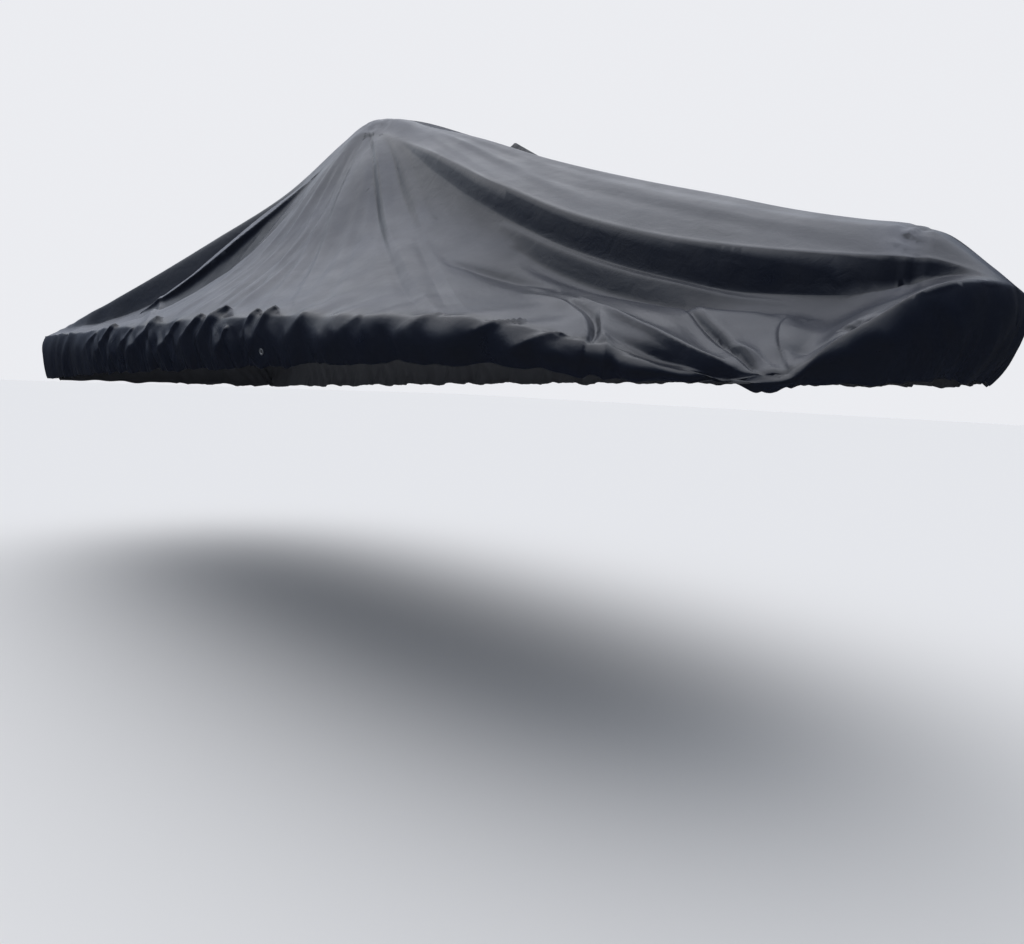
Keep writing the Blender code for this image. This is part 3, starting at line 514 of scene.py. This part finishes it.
def crease_field(creases, u, v, tipped=False, square=1.6):
    """What the creases add at each place (u, v).

    A tipped one is highest near its far end, and a squarer one has a flatter crown.
    """
    total = np.zeros_like(u)
    for c in creases:
        reach = 3.2 * max(c.left, c.right)
        us, vs = (c.x0, c.x1, c.x2), (c.y0, c.y1, c.y2)
        close = ((u > min(us) - reach) & (u < max(us) + reach)
                 & (v > min(vs) - reach) & (v < max(vs) + reach))
        near, side, along = nearest_on_bend(c, u[close], v[close], 32)
        if tipped:
            fade = (0.15 + 0.85 * along) * step_up(along, 0.0, 0.3) * (1 - step_up(along, 0.90, 1.0))
            narrow = 1.15 - 0.85 * along
        else:
            fade = np.sin(np.pi * np.clip(0.04 + 0.92 * along, 0, 1)) ** 0.7
            narrow = 0.55 + 0.45 * fade
        width = np.where(side > 0, c.left, c.right)
        total[close] += c.height * fade * np.exp(-(near / (width * narrow)) ** square)
    return total


def waves(place, wave, shift=0.0, spread=0.6, parts=5):
    """A smooth uneven wave of about the wave's height along a place, moved by a share of its spacing."""
    rng = np.random.default_rng(wave.seed)
    turns = place / wave.spacing + shift
    total = np.zeros_like(turns)
    for _ in range(parts):
        pace = 2 * math.pi * (1 + spread * (rng.random() - 0.5) * 2)
        total += np.sin(turns * pace + rng.random() * 2 * math.pi)
    return total / math.sqrt(parts) * wave.height


def skirt_ripple(run, drop, x, port):
    """Fine puckers of the gathered hem, strongest at its edge, and slack folds above them."""
    gather = np.where(port, 0.8, np.interp(x, (-1.7, -1.2, -0.9, 0.7, 1.2, 2.5),
                                           (0.0, 0.3, 0.9, 1.0, 0.6, 0.6)))
    shift = np.where(port, 0.37, 0.0)
    puckers = waves(run, HEM_PUCKERS[0], shift) + waves(run, HEM_PUCKERS[1])
    folds = waves(run - 0.55 * drop, SKIRT_FOLDS, shift, spread=0.9)
    return gather * (step_up(drop, 0.09, 0.18) * puckers + step_up(drop, 0.02, 0.07) * folds)


def broad_ripple(x, y, run, drop, port):
    """Faint streaks drawn out along the pull of the cloth."""
    peak_x = 0.02
    bearing = np.arctan2(np.where(port, y, -y), x - peak_x)
    far = np.hypot(x - peak_x, y)
    from_peak = step_up(far, 0.25, 0.85) * (1 - step_up(far, 0.9, 1.7)) * step_up(-drop, 0.0, 0.10)
    fan = waves(bearing, PEAK_FAN[0], np.where(port, 2.3, 0.0)) + waves(bearing, PEAK_FAN[1])
    out = np.abs(y)
    pane = waves(out, PANE_STREAKS, 0.12 * x) * step_up(x, 0.6, 1.2) * (1 - step_up(out, 0.16, 0.26))
    slack = waves(run, RIM_SLACK, 1.4 * drop) * step_up(drop, -0.35, -0.02)
    return from_peak * fan + pane + slack


def crumpled(patch, x, y, creases=9):
    """What a patch of small creases adds."""
    rng = np.random.default_rng(patch.seed)
    near = np.exp(-(((x - patch.x) / patch.size_x) ** 2 + ((y - patch.y) / patch.size_y) ** 2) ** 2)
    total = np.zeros_like(x)
    for _ in range(creases):
        way = rng.random() * math.pi
        phase = rng.random() * 2 * math.pi
        pace = 2 * math.pi / (patch.grain * (0.6 + rng.random()))
        warp = 0.6 * np.sin((x * math.sin(way) - y * math.cos(way)) * pace * 0.43 + phase)
        turn = (x * math.cos(way) + y * math.sin(way)) * pace + warp + phase
        total += 1 - 2 * np.abs(np.sin(0.5 * turn))
    return patch.height * near * total / 3


# ---- the cloth's mesh
RINGS = 12                   # faces from the hem to the rim
BAYS_ALONG, BAYS_ACROSS = 250, 140
COUNT_U, COUNT_V = BAYS_ALONG + 2 * RINGS, BAYS_ACROSS + 2 * RINGS
OUTER_TRIANGLES = 97000      # what is kept of the outer face, most where it is creased
RIM_ROUNDING = 0.022         # how far from the rim its edge is rounded
NARROW_FLANK = 0.022         # a crease with a flank below this gets a finer mesh
FINE_REACH = 0.045           # and that reaches no farther from it than this
RUN_AMIDSHIPS = float(np.interp(0.0, RIM[:, 0], np.arange(len(RIM)))) / (len(RIM) - 1) * RIM_LENGTH


def rim_level(at_rim):
    return top_height(at_rim[..., 0], at_rim[..., 1])


def cloth_place(i, j):
    """Where the grid place lies: its point, its run along the rim, and its drop below it."""
    edge = np.stack([i, COUNT_U - i, j, COUNT_V - j])
    ring = edge.min(axis=0)
    which = edge.argmin(axis=0)
    inset = np.minimum(ring, RINGS)
    s = np.clip((i - inset) / (COUNT_U - 2 * inset), 0, 1)
    t = np.clip((j - inset) / (COUNT_V - 2 * inset), 0, 1)
    port = j > COUNT_V / 2
    point = surface(i, j, RINGS, BAYS_ALONG, BAYS_ACROSS)
    at_rim = rim_point(side_share(s), port)
    rim_z = rim_level(at_rim)
    from_rim = np.sqrt((point[:, 0] - at_rim[:, 0]) ** 2 + (point[:, 1] - at_rim[:, 1]) ** 2
                       + (point[:, 2] - rim_z) ** 2)
    drop = np.where(ring < RINGS, np.maximum(rim_z - point[:, 2], 0), -from_rim)
    # in the skirt's ends the run goes on round the corner
    end_skirt = (ring < RINGS) & (which < 2)
    end_run, _ = end_share(place_across(np.where(which == 1, 1.0, 0.0), t), which == 1)
    drop = np.where(end_skirt, np.maximum(rim_level(rim_point(end_run, port)) - point[:, 2], 0), drop)
    run = np.where(end_skirt, end_run, side_share(s)) * RIM_LENGTH - RUN_AMIDSHIPS
    return point, run, drop, port


def near_narrow_crease(x, y):
    """Whether the place is close to a crease with a narrow flank."""
    close = np.zeros(x.shape, bool)
    for c in TOP_CREASES:
        if min(c.left, c.right) >= NARROW_FLANK:
            continue
        reach = min(1.5 * max(c.left, c.right), FINE_REACH)
        for t in np.linspace(0, 1, 40):
            px, py = bend(c, t)
            close |= (x - px) ** 2 + (y - py) ** 2 < reach ** 2
    return close


def wants_finer(level, x, y, drop, port):
    """Which parts of the cloth have their mesh halved, once or twice."""
    if level == 1:
        return ~port | (drop > -0.10) | (np.abs(y) < 0.08)
    pleated = ~port & (drop > -0.08) & (x > -1.15) & (x < 0.75)
    pocket = ~port & (y < -0.33) & (x > 1.62) & (x < 2.30)
    peak = np.hypot(x - 0.05, y + 0.10) < 0.16
    standing = (x > 0.74) & (x < 1.02) & (np.abs(y - 0.035) < 0.04)
    return pleated | pocket | peak | standing | (~port & near_narrow_crease(x, y))


def sheet_mesh():
    """A grid in the cloth's own places, finer where it is creased."""
    bm = bmesh.new()
    bmesh.ops.create_grid(bm, x_segments=COUNT_U, y_segments=COUNT_V, size=0.5)
    for vert in bm.verts:
        vert.co = ((vert.co.x + 0.5) * COUNT_U, (vert.co.y + 0.5) * COUNT_V, 0.0)
    for level in (1, 2):
        faces = list(bm.faces)
        middles = np.array([f.calc_center_median() for f in faces])
        point, _, drop, port = cloth_place(middles[:, 0], middles[:, 1])
        finer = wants_finer(level, point[:, 0], point[:, 1], drop, port)
        edges = {e for f, yes in zip(faces, finer) if yes and len(f.verts) == 4 for e in f.edges}
        bmesh.ops.subdivide_edges(bm, edges=list(edges), cuts=1, use_grid_fill=True)
    return bm


def lay_cloth(bm):
    """Lays the mesh on the cover's shape, then raises the creases along its normals."""
    places = np.array([v.co for v in bm.verts])
    point, run, drop, port = cloth_place(places[:, 0], places[:, 1])
    for vert, p in zip(bm.verts, point):
        vert.co = (p[0], p[1], p[2] - PEAK_HEIGHT)
    edge = [v for v, d in zip(bm.verts, drop) if abs(d) < RIM_ROUNDING and not v.is_boundary]
    for _ in range(2):
        bmesh.ops.smooth_vert(bm, verts=edge, factor=0.5, use_axis_x=True, use_axis_y=True,
                              use_axis_z=True)
    bm.normal_update()
    x, y = point[:, 0], point[:, 1]
    raised = crease_field(TOP_CREASES, x, y) * (1 - step_up(drop, 0.05, 0.14))
    raised += crease_field(STANDING_FOLDS, x, y, tipped=True, square=4.0)
    pleats = crease_field(RIM_PLEATS, run, drop, tipped=True)
    port_pleats = crease_field(RIM_PLEATS, -run - PORT_PLEAT_SHIFT, drop, tipped=True)
    raised += np.where(port, port_pleats * PORT_PLEAT_SHARE, pleats)
    raised += skirt_ripple(run, drop, x, port) + broad_ripple(x, y, run, drop, port)
    for patch in CRUMPLES:
        raised += crumpled(patch, x, y) * (1 - step_up(drop, -0.02, 0.02))
    lean = np.where(port, 0.0, PLEAT_LEAN * np.maximum(pleats, 0.0))
    tuck = crease_field(TUCKS, x, y)
    normals = np.array([v.normal for v in bm.verts])
    for vert, n, h, ahead, pull in zip(bm.verts, normals, raised, lean, tuck):
        vert.co += Vector(n) * h + Vector((ahead + TUCK_WAY[0] * pull, TUCK_WAY[1] * pull, 0.0))
    return x, y, drop


def eyelet_axis():
    """Middle of the outer flange face of the frame's eyelet, and the way it faces."""
    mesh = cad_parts["eyelet_ring"].data
    pts = np.array([v.co for v in mesh.vertices])
    pts = np.unique(np.round(pts, 6), axis=0)
    middle = (pts.min(axis=0) + pts.max(axis=0)) / 2
    _, _, axes = np.linalg.svd(pts - pts.mean(axis=0))
    normal = axes[2] if axes[2][1] < 0 else -axes[2]
    reach = (pts - middle) @ normal
    middle = middle + normal * (reach.max() + reach.min()) / 2
    half = (reach.max() - reach.min()) / 2
    flange = 0.0012              # from the outside of the flange to the cloth's face
    return Vector(middle + normal * (half - flange)), Vector(normal)


def seat_eyelet(bm, centre, normal):
    """Flattens the cloth round the eyelet and opens its hole."""
    flat_radius, flat_fade, pull_radius, hole_radius = 0.060, 0.040, 0.045, 0.0085
    for vert in bm.verts:
        away = vert.co - centre
        height = away.dot(normal)
        spread = (away - normal * height).length
        if spread < flat_radius and abs(height) < flat_radius:
            t = min(max((flat_radius - spread) / flat_fade, 0.0), 1.0)
            vert.co -= normal * height * t * t * (3 - 2 * t)
    hub = min(bm.verts, key=lambda v: (v.co - centre).length)
    shift = centre - hub.co
    for vert in bm.verts:
        away = (vert.co - centre).length
        if away < pull_radius:
            vert.co += shift * (1 - away / pull_radius) ** 2
    hub = min(bm.verts, key=lambda v: (v.co - centre).length)
    edge_verts = {v for f in hub.link_faces for v in f.verts} - {hub}
    bmesh.ops.delete(bm, geom=[hub], context="VERTS")
    for vert in edge_verts:
        away = vert.co - centre
        away -= normal * away.dot(normal)
        vert.co = centre + away.normalized() * hole_radius


def cloth_map(mesh):
    """A UV map in metres of cloth: fore and aft, and up from the hem."""
    places = np.empty(len(mesh.vertices) * 3)
    mesh.attributes["place"].data.foreach_get("vector", places)
    x, y, drop = places.reshape(-1, 3).T
    layer = mesh.uv_layers.new(name="cloth")
    values = np.empty((len(mesh.loops), 2))
    for loop in mesh.loops:
        k = loop.vertex_index
        values[loop.index] = (x[k] + 2.3, 1.6 + (drop[k] if y[k] < 0 else -drop[k]))
    layer.data.foreach_set("uv", values.ravel())


def add_object(name, data):
    made = bpy.data.objects.new(name, data)
    bpy.context.scene.collection.objects.link(made)
    return made


def build_cover(outside, inside):
    bm = sheet_mesh()
    x, y, drop = lay_cloth(bm)
    place = bm.verts.layers.float_vector.new("place")
    held = bm.verts.layers.float.new("dust_sky_light_held")
    # each vertex's share of the grey of dust and painted sky light: less is painted shade, more a painted
    # highlight
    dust_light_held = np.clip(1 + crease_field(DUST_LIGHT_CHANGES, x, y), 0, 3)
    dust_light_held *= 1 - step_up(drop, -0.045, -0.015)      # darker along the edge of the top: the grey of dust and painted sky light stops short of the rim
    for vert, a, b, c, much in zip(bm.verts, x, y, drop, dust_light_held):
        vert[place] = (a, b, c)
        vert[held] = much
    seat_eyelet(bm, *eyelet_axis())
    for face in bm.faces:
        face.smooth = True
    mesh = bpy.data.meshes.new("cover_cloth_fine")
    bm.to_mesh(mesh)
    bm.free()
    cloth_map(mesh)
    mesh.materials.append(outside)
    mesh.materials.append(inside)
    cover = add_object("cloth_shell", mesh)
    mesh.calc_loop_triangles()
    thin = cover.modifiers.new("fewer faces where flat", "DECIMATE")
    thin.ratio = OUTER_TRIANGLES / len(mesh.loop_triangles)
    wall = cover.modifiers.new("cloth thickness", "SOLIDIFY")
    wall.thickness = CLOTH_THICK
    wall.offset = -1.0
    wall.material_offset = 1
    wall.material_offset_rim = 0
    finished = cover.evaluated_get(bpy.context.evaluated_depsgraph_get())
    cover.data = bpy.data.meshes.new_from_object(finished)
    cover.data.name = "cloth_shell"
    cover.modifiers.clear()
    return cover


def build_eyelet(metal):
    """The two clasped halves of the eyelet, turned as one ring with rolled lips."""
    centre, normal = eyelet_axis()
    hole, brim, neck = 0.0058, 0.0118, 0.0074
    face, back, lip = 0.0003, -CLOTH_THICK - 0.0003, 0.0009
    profile = [(neck, back), (brim - 0.0006, back), (brim, back - 0.4 * lip),
               (brim - 0.0005, back - lip), (hole + 0.0006, back - lip), (hole, back - 0.5 * lip),
               (hole, face + 0.3 * lip), (hole + 0.0005, face + 0.8 * lip), (hole + 0.0014, face + lip),
               (brim - 0.0020, face + lip), (brim - 0.0007, face + 0.75 * lip), (brim, face + 0.3 * lip),
               (brim - 0.0003, face), (neck, face)]
    bm = bmesh.new()
    verts = [bm.verts.new((r, 0.0, z)) for r, z in profile]
    edges = [bm.edges.new((a, b)) for a, b in zip(verts, verts[1:] + verts[:1])]
    bmesh.ops.spin(bm, geom=verts + edges, cent=(0, 0, 0), axis=(0, 0, 1), angle=2 * math.pi,
                   steps=48, use_merge=True, use_duplicate=False)
    bmesh.ops.remove_doubles(bm, verts=bm.verts, dist=1e-6)
    bmesh.ops.recalc_face_normals(bm, faces=bm.faces)
    turn = normal.to_track_quat("Z", "Y").to_matrix().to_4x4()
    bm.transform(Matrix.Translation(centre) @ turn)
    for f in bm.faces:
        f.smooth = True
    mesh = bpy.data.meshes.new("eyelet")
    bm.to_mesh(mesh)
    bm.free()
    mesh.materials.append(metal)
    mesh.set_sharp_from_angle(angle=math.radians(50))
    return add_object("eyelet", mesh)


# ---- materials
def node(tree, kind, place, values=None, **settings):
    """A node at a place in its tree, with its settings and the values of its sockets."""
    made = tree.nodes.new(kind)
    made.location = place
    for name, value in settings.items():
        setattr(made, name, value)
    for socket, value in (values or {}).items():
        made.inputs[socket].default_value = value
    return made


def wire(tree, *links):
    """Joins sockets: each link is a node, its output, a node and its input."""
    for source, out_socket, target, in_socket in links:
        tree.links.new(source.outputs[out_socket], target.inputs[in_socket])


def group_socket(group, name, kind, way, default=None):
    made = group.interface.new_socket(name=name, in_out=way, socket_type="NodeSocket" + kind)
    if default is not None:
        made.default_value = default


def new_material(name, shader_values):
    """A material, its tree and its Principled shader."""
    mat = bpy.data.materials.new(name)
    mat.use_nodes = True
    shader = mat.node_tree.nodes["Principled BSDF"]
    for socket, value in shader_values.items():
        shader.inputs[socket].default_value = value
    return mat, mat.node_tree, shader


def make_dust_light_group():
    """Dust and painted sky light on what faces up: a mask that varies over the surface."""
    group = bpy.data.node_groups.new("dust_and_painted_sky_light", "ShaderNodeTree")
    group_socket(group, "Position", "Vector", "INPUT")
    group_socket(group, "Patch Scale", "Float", "INPUT", 2.5)
    group_socket(group, "Lowest Slope", "Float", "INPUT", 0.25)
    group_socket(group, "Amount", "Float", "INPUT", 0.5)
    group_socket(group, "Mask", "Float", "OUTPUT")
    come = node(group, "NodeGroupInput", (-900, 0))
    go = node(group, "NodeGroupOutput", (500, 0))
    facing = node(group, "ShaderNodeNewGeometry", (-900, 260))
    split = node(group, "ShaderNodeSeparateXYZ", (-700, 260))
    # painted sky light and dust: the more the surface faces up, the higher the mask
    slope = node(group, "ShaderNodeMapRange", (-500, 260), {"From Max": 0.62},
                 interpolation_type="SMOOTHSTEP")
    patches = node(group, "ShaderNodeTexNoise", (-650, -60), {"Detail": 5.0, "Roughness": 0.6})
    uneven = node(group, "ShaderNodeMapRange", (-400, -60),
                  {"From Min": 0.30, "From Max": 0.72, "To Min": 0.45})
    slope_by_patches = node(group, "ShaderNodeMath", (-150, 120), operation="MULTIPLY")
    limit = node(group, "ShaderNodeMath", (100, 60), operation="MULTIPLY")
    wire(group, (facing, "Normal", split, 0), (split, "Z", slope, "Value"),
         (come, "Lowest Slope", slope, "From Min"), (come, "Position", patches, "Vector"),
         (come, "Patch Scale", patches, "Scale"), (patches, "Fac", uneven, "Value"),
         (slope, "Result", slope_by_patches, 0), (uneven, "Result", slope_by_patches, 1),
         (slope_by_patches, 0, limit, 0), (come, "Amount", limit, 1), (limit, 0, go, "Mask"))
    return group


def cloth_material(name, dust_light_group, colour, dusty_lit_tint, roughness, dust_light_amount):
    """Coated tarpaulin: half-gloss coating over a fine weave, with soft creases. Dust and painted sky light
    make what faces up grey.
    """
    mat, tree, shader = new_material(name, {"IOR": 1.5})
    where = node(tree, "ShaderNodeTexCoord", (-1500, 0))
    cloth = node(tree, "ShaderNodeUVMap", (-1500, -400), uv_map="cloth")
    dust_light_mask = node(tree, "ShaderNodeGroup", (-1100, 200),
                {"Patch Scale": 3.0, "Lowest Slope": 0.40, "Amount": dust_light_amount}, node_tree=dust_light_group)
    place = node(tree, "ShaderNodeSeparateXYZ", (-1300, 420))
    to_bow = node(tree, "ShaderNodeMapRange", (-1100, 480),     # painted light falling from aft, with dust: more grey aft, less towards the bow
                  {"From Min": -0.6, "From Max": 1.6, "To Min": 1.75, "To Max": 0.62})
    held = node(tree, "ShaderNodeAttribute", (-1300, 640), attribute_name="dust_sky_light_held")
    spread = node(tree, "ShaderNodeMath", (-950, 560), operation="MULTIPLY")
    dusted_and_lit = node(tree, "ShaderNodeMath", (-850, 300), operation="MULTIPLY")
    # painted sky light and dust: the navy is mixed towards the grey tint where the mask is
    tint = node(tree, "ShaderNodeMix", (-600, 300), {"A": (*colour, 1.0), "B": (*dusty_lit_tint, 1.0)},
                data_type="RGBA")
    smudge = node(tree, "ShaderNodeTexNoise", (-1100, -100), {"Scale": 9.0, "Detail": 6.0})
    gloss = node(tree, "ShaderNodeMapRange", (-850, -100),
                 {"From Min": 0.3, "From Max": 0.7, "To Min": roughness - 0.05, "To Max": roughness + 0.05})
    dull = node(tree, "ShaderNodeMath", (-500, -60), {1: 0.30}, operation="MULTIPLY_ADD")
    warp = node(tree, "ShaderNodeTexWave", (-1100, -420), {"Scale": 170.0}, bands_direction="X")
    weft = node(tree, "ShaderNodeTexWave", (-1100, -640), {"Scale": 170.0}, bands_direction="Y")
    weave = node(tree, "ShaderNodeMath", (-850, -500), operation="MULTIPLY")
    creases = node(tree, "ShaderNodeTexNoise", (-1100, -900),
                   {"Scale": 16.0, "Detail": 7.0, "Roughness": 0.55, "Distortion": 0.6})
    soft = node(tree, "ShaderNodeBump", (-600, -700), {"Strength": 0.30, "Distance": 0.006})
    fine = node(tree, "ShaderNodeBump", (-350, -500), {"Strength": 0.25, "Distance": 0.0002})
    wire(tree, (where, "Object", dust_light_mask, "Position"), (where, "Object", smudge, "Vector"),
         (where, "Object", creases, "Vector"), (where, "Object", place, 0),
         (place, "X", to_bow, "Value"), (dust_light_mask, "Mask", dusted_and_lit, 0),
         (to_bow, "Result", spread, 0), (held, "Fac", spread, 1), (spread, 0, dusted_and_lit, 1),
         (dusted_and_lit, 0, tint, "Factor"), (tint, "Result", shader, "Base Color"),
         (smudge, "Fac", gloss, "Value"), (dusted_and_lit, 0, dull, 0), (gloss, "Result", dull, 2),
         (dull, 0, shader, "Roughness"),
         (cloth, "UV", warp, "Vector"), (cloth, "UV", weft, "Vector"),
         (warp, "Fac", weave, 0), (weft, "Fac", weave, 1),
         (creases, "Fac", soft, "Height"), (soft, "Normal", fine, "Normal"),
         (weave, 0, fine, "Height"), (fine, "Normal", shader, "Normal"))
    return mat


def zinc_material(dust_light_group):
    """Dull zinc plate, scuffed by handling and a little dirty, most where it faces up."""
    mat, tree, shader = new_material("zinc_plate", {"Metallic": 1.0})
    where = node(tree, "ShaderNodeTexCoord", (-1200, 0))
    dust_light_mask = node(tree, "ShaderNodeGroup", (-900, 200),
                {"Patch Scale": 180.0, "Lowest Slope": -0.8, "Amount": 0.3}, node_tree=dust_light_group)
    tint = node(tree, "ShaderNodeMix", (-500, 200),
                {"A": (0.82, 0.82, 0.80, 1.0), "B": (0.24, 0.22, 0.19, 1.0)}, data_type="RGBA")
    scuffs = node(tree, "ShaderNodeTexNoise", (-900, -150), {"Scale": 700.0, "Detail": 4.0})
    worn = node(tree, "ShaderNodeMapRange", (-600, -150), {"To Min": 0.42, "To Max": 0.62})
    dents = node(tree, "ShaderNodeBump", (-350, -250), {"Strength": 0.2, "Distance": 0.0001})
    wire(tree, (where, "Object", dust_light_mask, "Position"), (where, "Object", scuffs, "Vector"),
         (dust_light_mask, "Mask", tint, "Factor"), (tint, "Result", shader, "Base Color"),
         (scuffs, "Fac", worn, "Value"), (worn, "Result", shader, "Roughness"),
         (scuffs, "Fac", dents, "Height"), (dents, "Normal", shader, "Normal"))
    return mat


# ---- floor, light and camera
FLOOR_TONE = (0.83, 0.81, 0.78)
FLOOR_REACH = 60.0
BRIGHTEST = (-0.26, 0.08, 0.96)    # where the studio's light is strongest: above and aft
BACKDROP = (0.833, 0.842, 0.876)

# The studio's light from the dark side round to the brightest: place, red, green, blue.
Light = namedtuple("Light", "place red green blue")
LIGHTS = (Light(0.00, 0.030, 0.034, 0.045), Light(0.28, 0.035, 0.040, 0.055),
          Light(0.48, 0.19, 0.225, 0.30), Light(0.66, 1.00, 1.08, 1.21),
          Light(0.82, 1.59, 1.63, 1.73), Light(1.00, 1.59, 1.63, 1.73))

CAMERA_AT = (3.0, -2.399, -1.229)
CAMERA_AHEAD = (-0.700, 0.7139, -0.0192)
CAMERA_RIGHT = (0.7127, 0.7001, 0.0436)
CAMERA_SHIFT = (0.040, -0.0703)


def build_floor():
    far, low = FLOOR_REACH, -PEAK_HEIGHT
    mesh = bpy.data.meshes.new("floor")
    mesh.from_pydata([(-far, -far, low), (far, -far, low), (far, far, low), (-far, far, low)],
                     [], [(0, 1, 2, 3)])
    floor = add_object("floor", mesh)
    mat, _, _ = new_material("pale_floor", {"Base Color": (*FLOOR_TONE, 1.0), "Roughness": 0.9,
                                            "Specular IOR Level": 0.0})
    mesh.materials.append(mat)
    floor.visible_glossy = False
    return floor


def light_studio():
    """Soft light from above, dim near the horizon, with a pale backdrop for the camera."""
    world = bpy.data.worlds.new("studio")
    bpy.context.scene.world = world
    world.use_nodes = True
    tree = world.node_tree
    tree.nodes.clear()
    way = node(tree, "ShaderNodeTexCoord", (-1000, 0))
    tilt = node(tree, "ShaderNodeVectorMath", (-800, 0), {1: BRIGHTEST}, operation="DOT_PRODUCT")
    sky = node(tree, "ShaderNodeValToRGB", (-600, 0))
    ramp = sky.color_ramp
    while len(ramp.elements) < len(LIGHTS):
        ramp.elements.new(0.5)
    for element, light in zip(ramp.elements, LIGHTS):
        element.position = light.place
        element.color = (light.red, light.green, light.blue, 1.0)
    ramp.interpolation = "LINEAR"
    glow = node(tree, "ShaderNodeBackground", (-300, 0))
    backdrop = node(tree, "ShaderNodeBackground", (-300, -160), {"Color": (*BACKDROP, 1.0)})
    seen = node(tree, "ShaderNodeLightPath", (-300, 260))
    choose = node(tree, "ShaderNodeMixShader", (0, 0))
    out = node(tree, "ShaderNodeOutputWorld", (200, 0))
    wire(tree, (way, "Generated", tilt, 0), (tilt, "Value", sky, "Fac"), (sky, "Color", glow, "Color"),
         (seen, "Is Camera Ray", choose, "Fac"), (glow, 0, choose, 1), (backdrop, 0, choose, 2),
         (choose, 0, out, "Surface"))
    bpy.context.scene.view_settings.view_transform = "Standard"
    bpy.context.scene.view_settings.look = "None"


def place_camera():
    """A camera at chest height off the starboard bow."""
    ahead = Vector(CAMERA_AHEAD).normalized()
    right = Vector(CAMERA_RIGHT)
    right = (right - ahead * right.dot(ahead)).normalized()
    above = right.cross(ahead)
    data = bpy.data.cameras.new("camera")
    data.lens = 28.125
    data.sensor_width = 36.0
    data.shift_x, data.shift_y = CAMERA_SHIFT
    data.clip_end = 500.0
    camera = add_object("camera", data)
    turn = Matrix((right, above, -ahead)).transposed().to_4x4()
    camera.matrix_world = Matrix.Translation(CAMERA_AT) @ turn
    bpy.context.scene.camera = camera


place_camera()
light_studio()
floor = build_floor()

dust_light_group = make_dust_light_group()
# The cloth's grey tint stands for dust and painted sky light on what faces up.
outside = cloth_material("navy_coated_cloth", dust_light_group, colour=(0.007, 0.010, 0.020),
                         dusty_lit_tint=(0.192, 0.201, 0.236), roughness=0.32, dust_light_amount=0.50)
inside = cloth_material("navy_cloth_underside", dust_light_group, colour=(0.070, 0.074, 0.084),
                        dusty_lit_tint=(0.07, 0.07, 0.075), roughness=0.60, dust_light_amount=0.0)
zinc = zinc_material(dust_light_group)

cover = build_cover(outside, inside)
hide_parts("cover_cloth", "eyelet_strip")
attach(cover, "root")

eyelet = build_eyelet(zinc)
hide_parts("eyelet_ring")
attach(eyelet, "root")
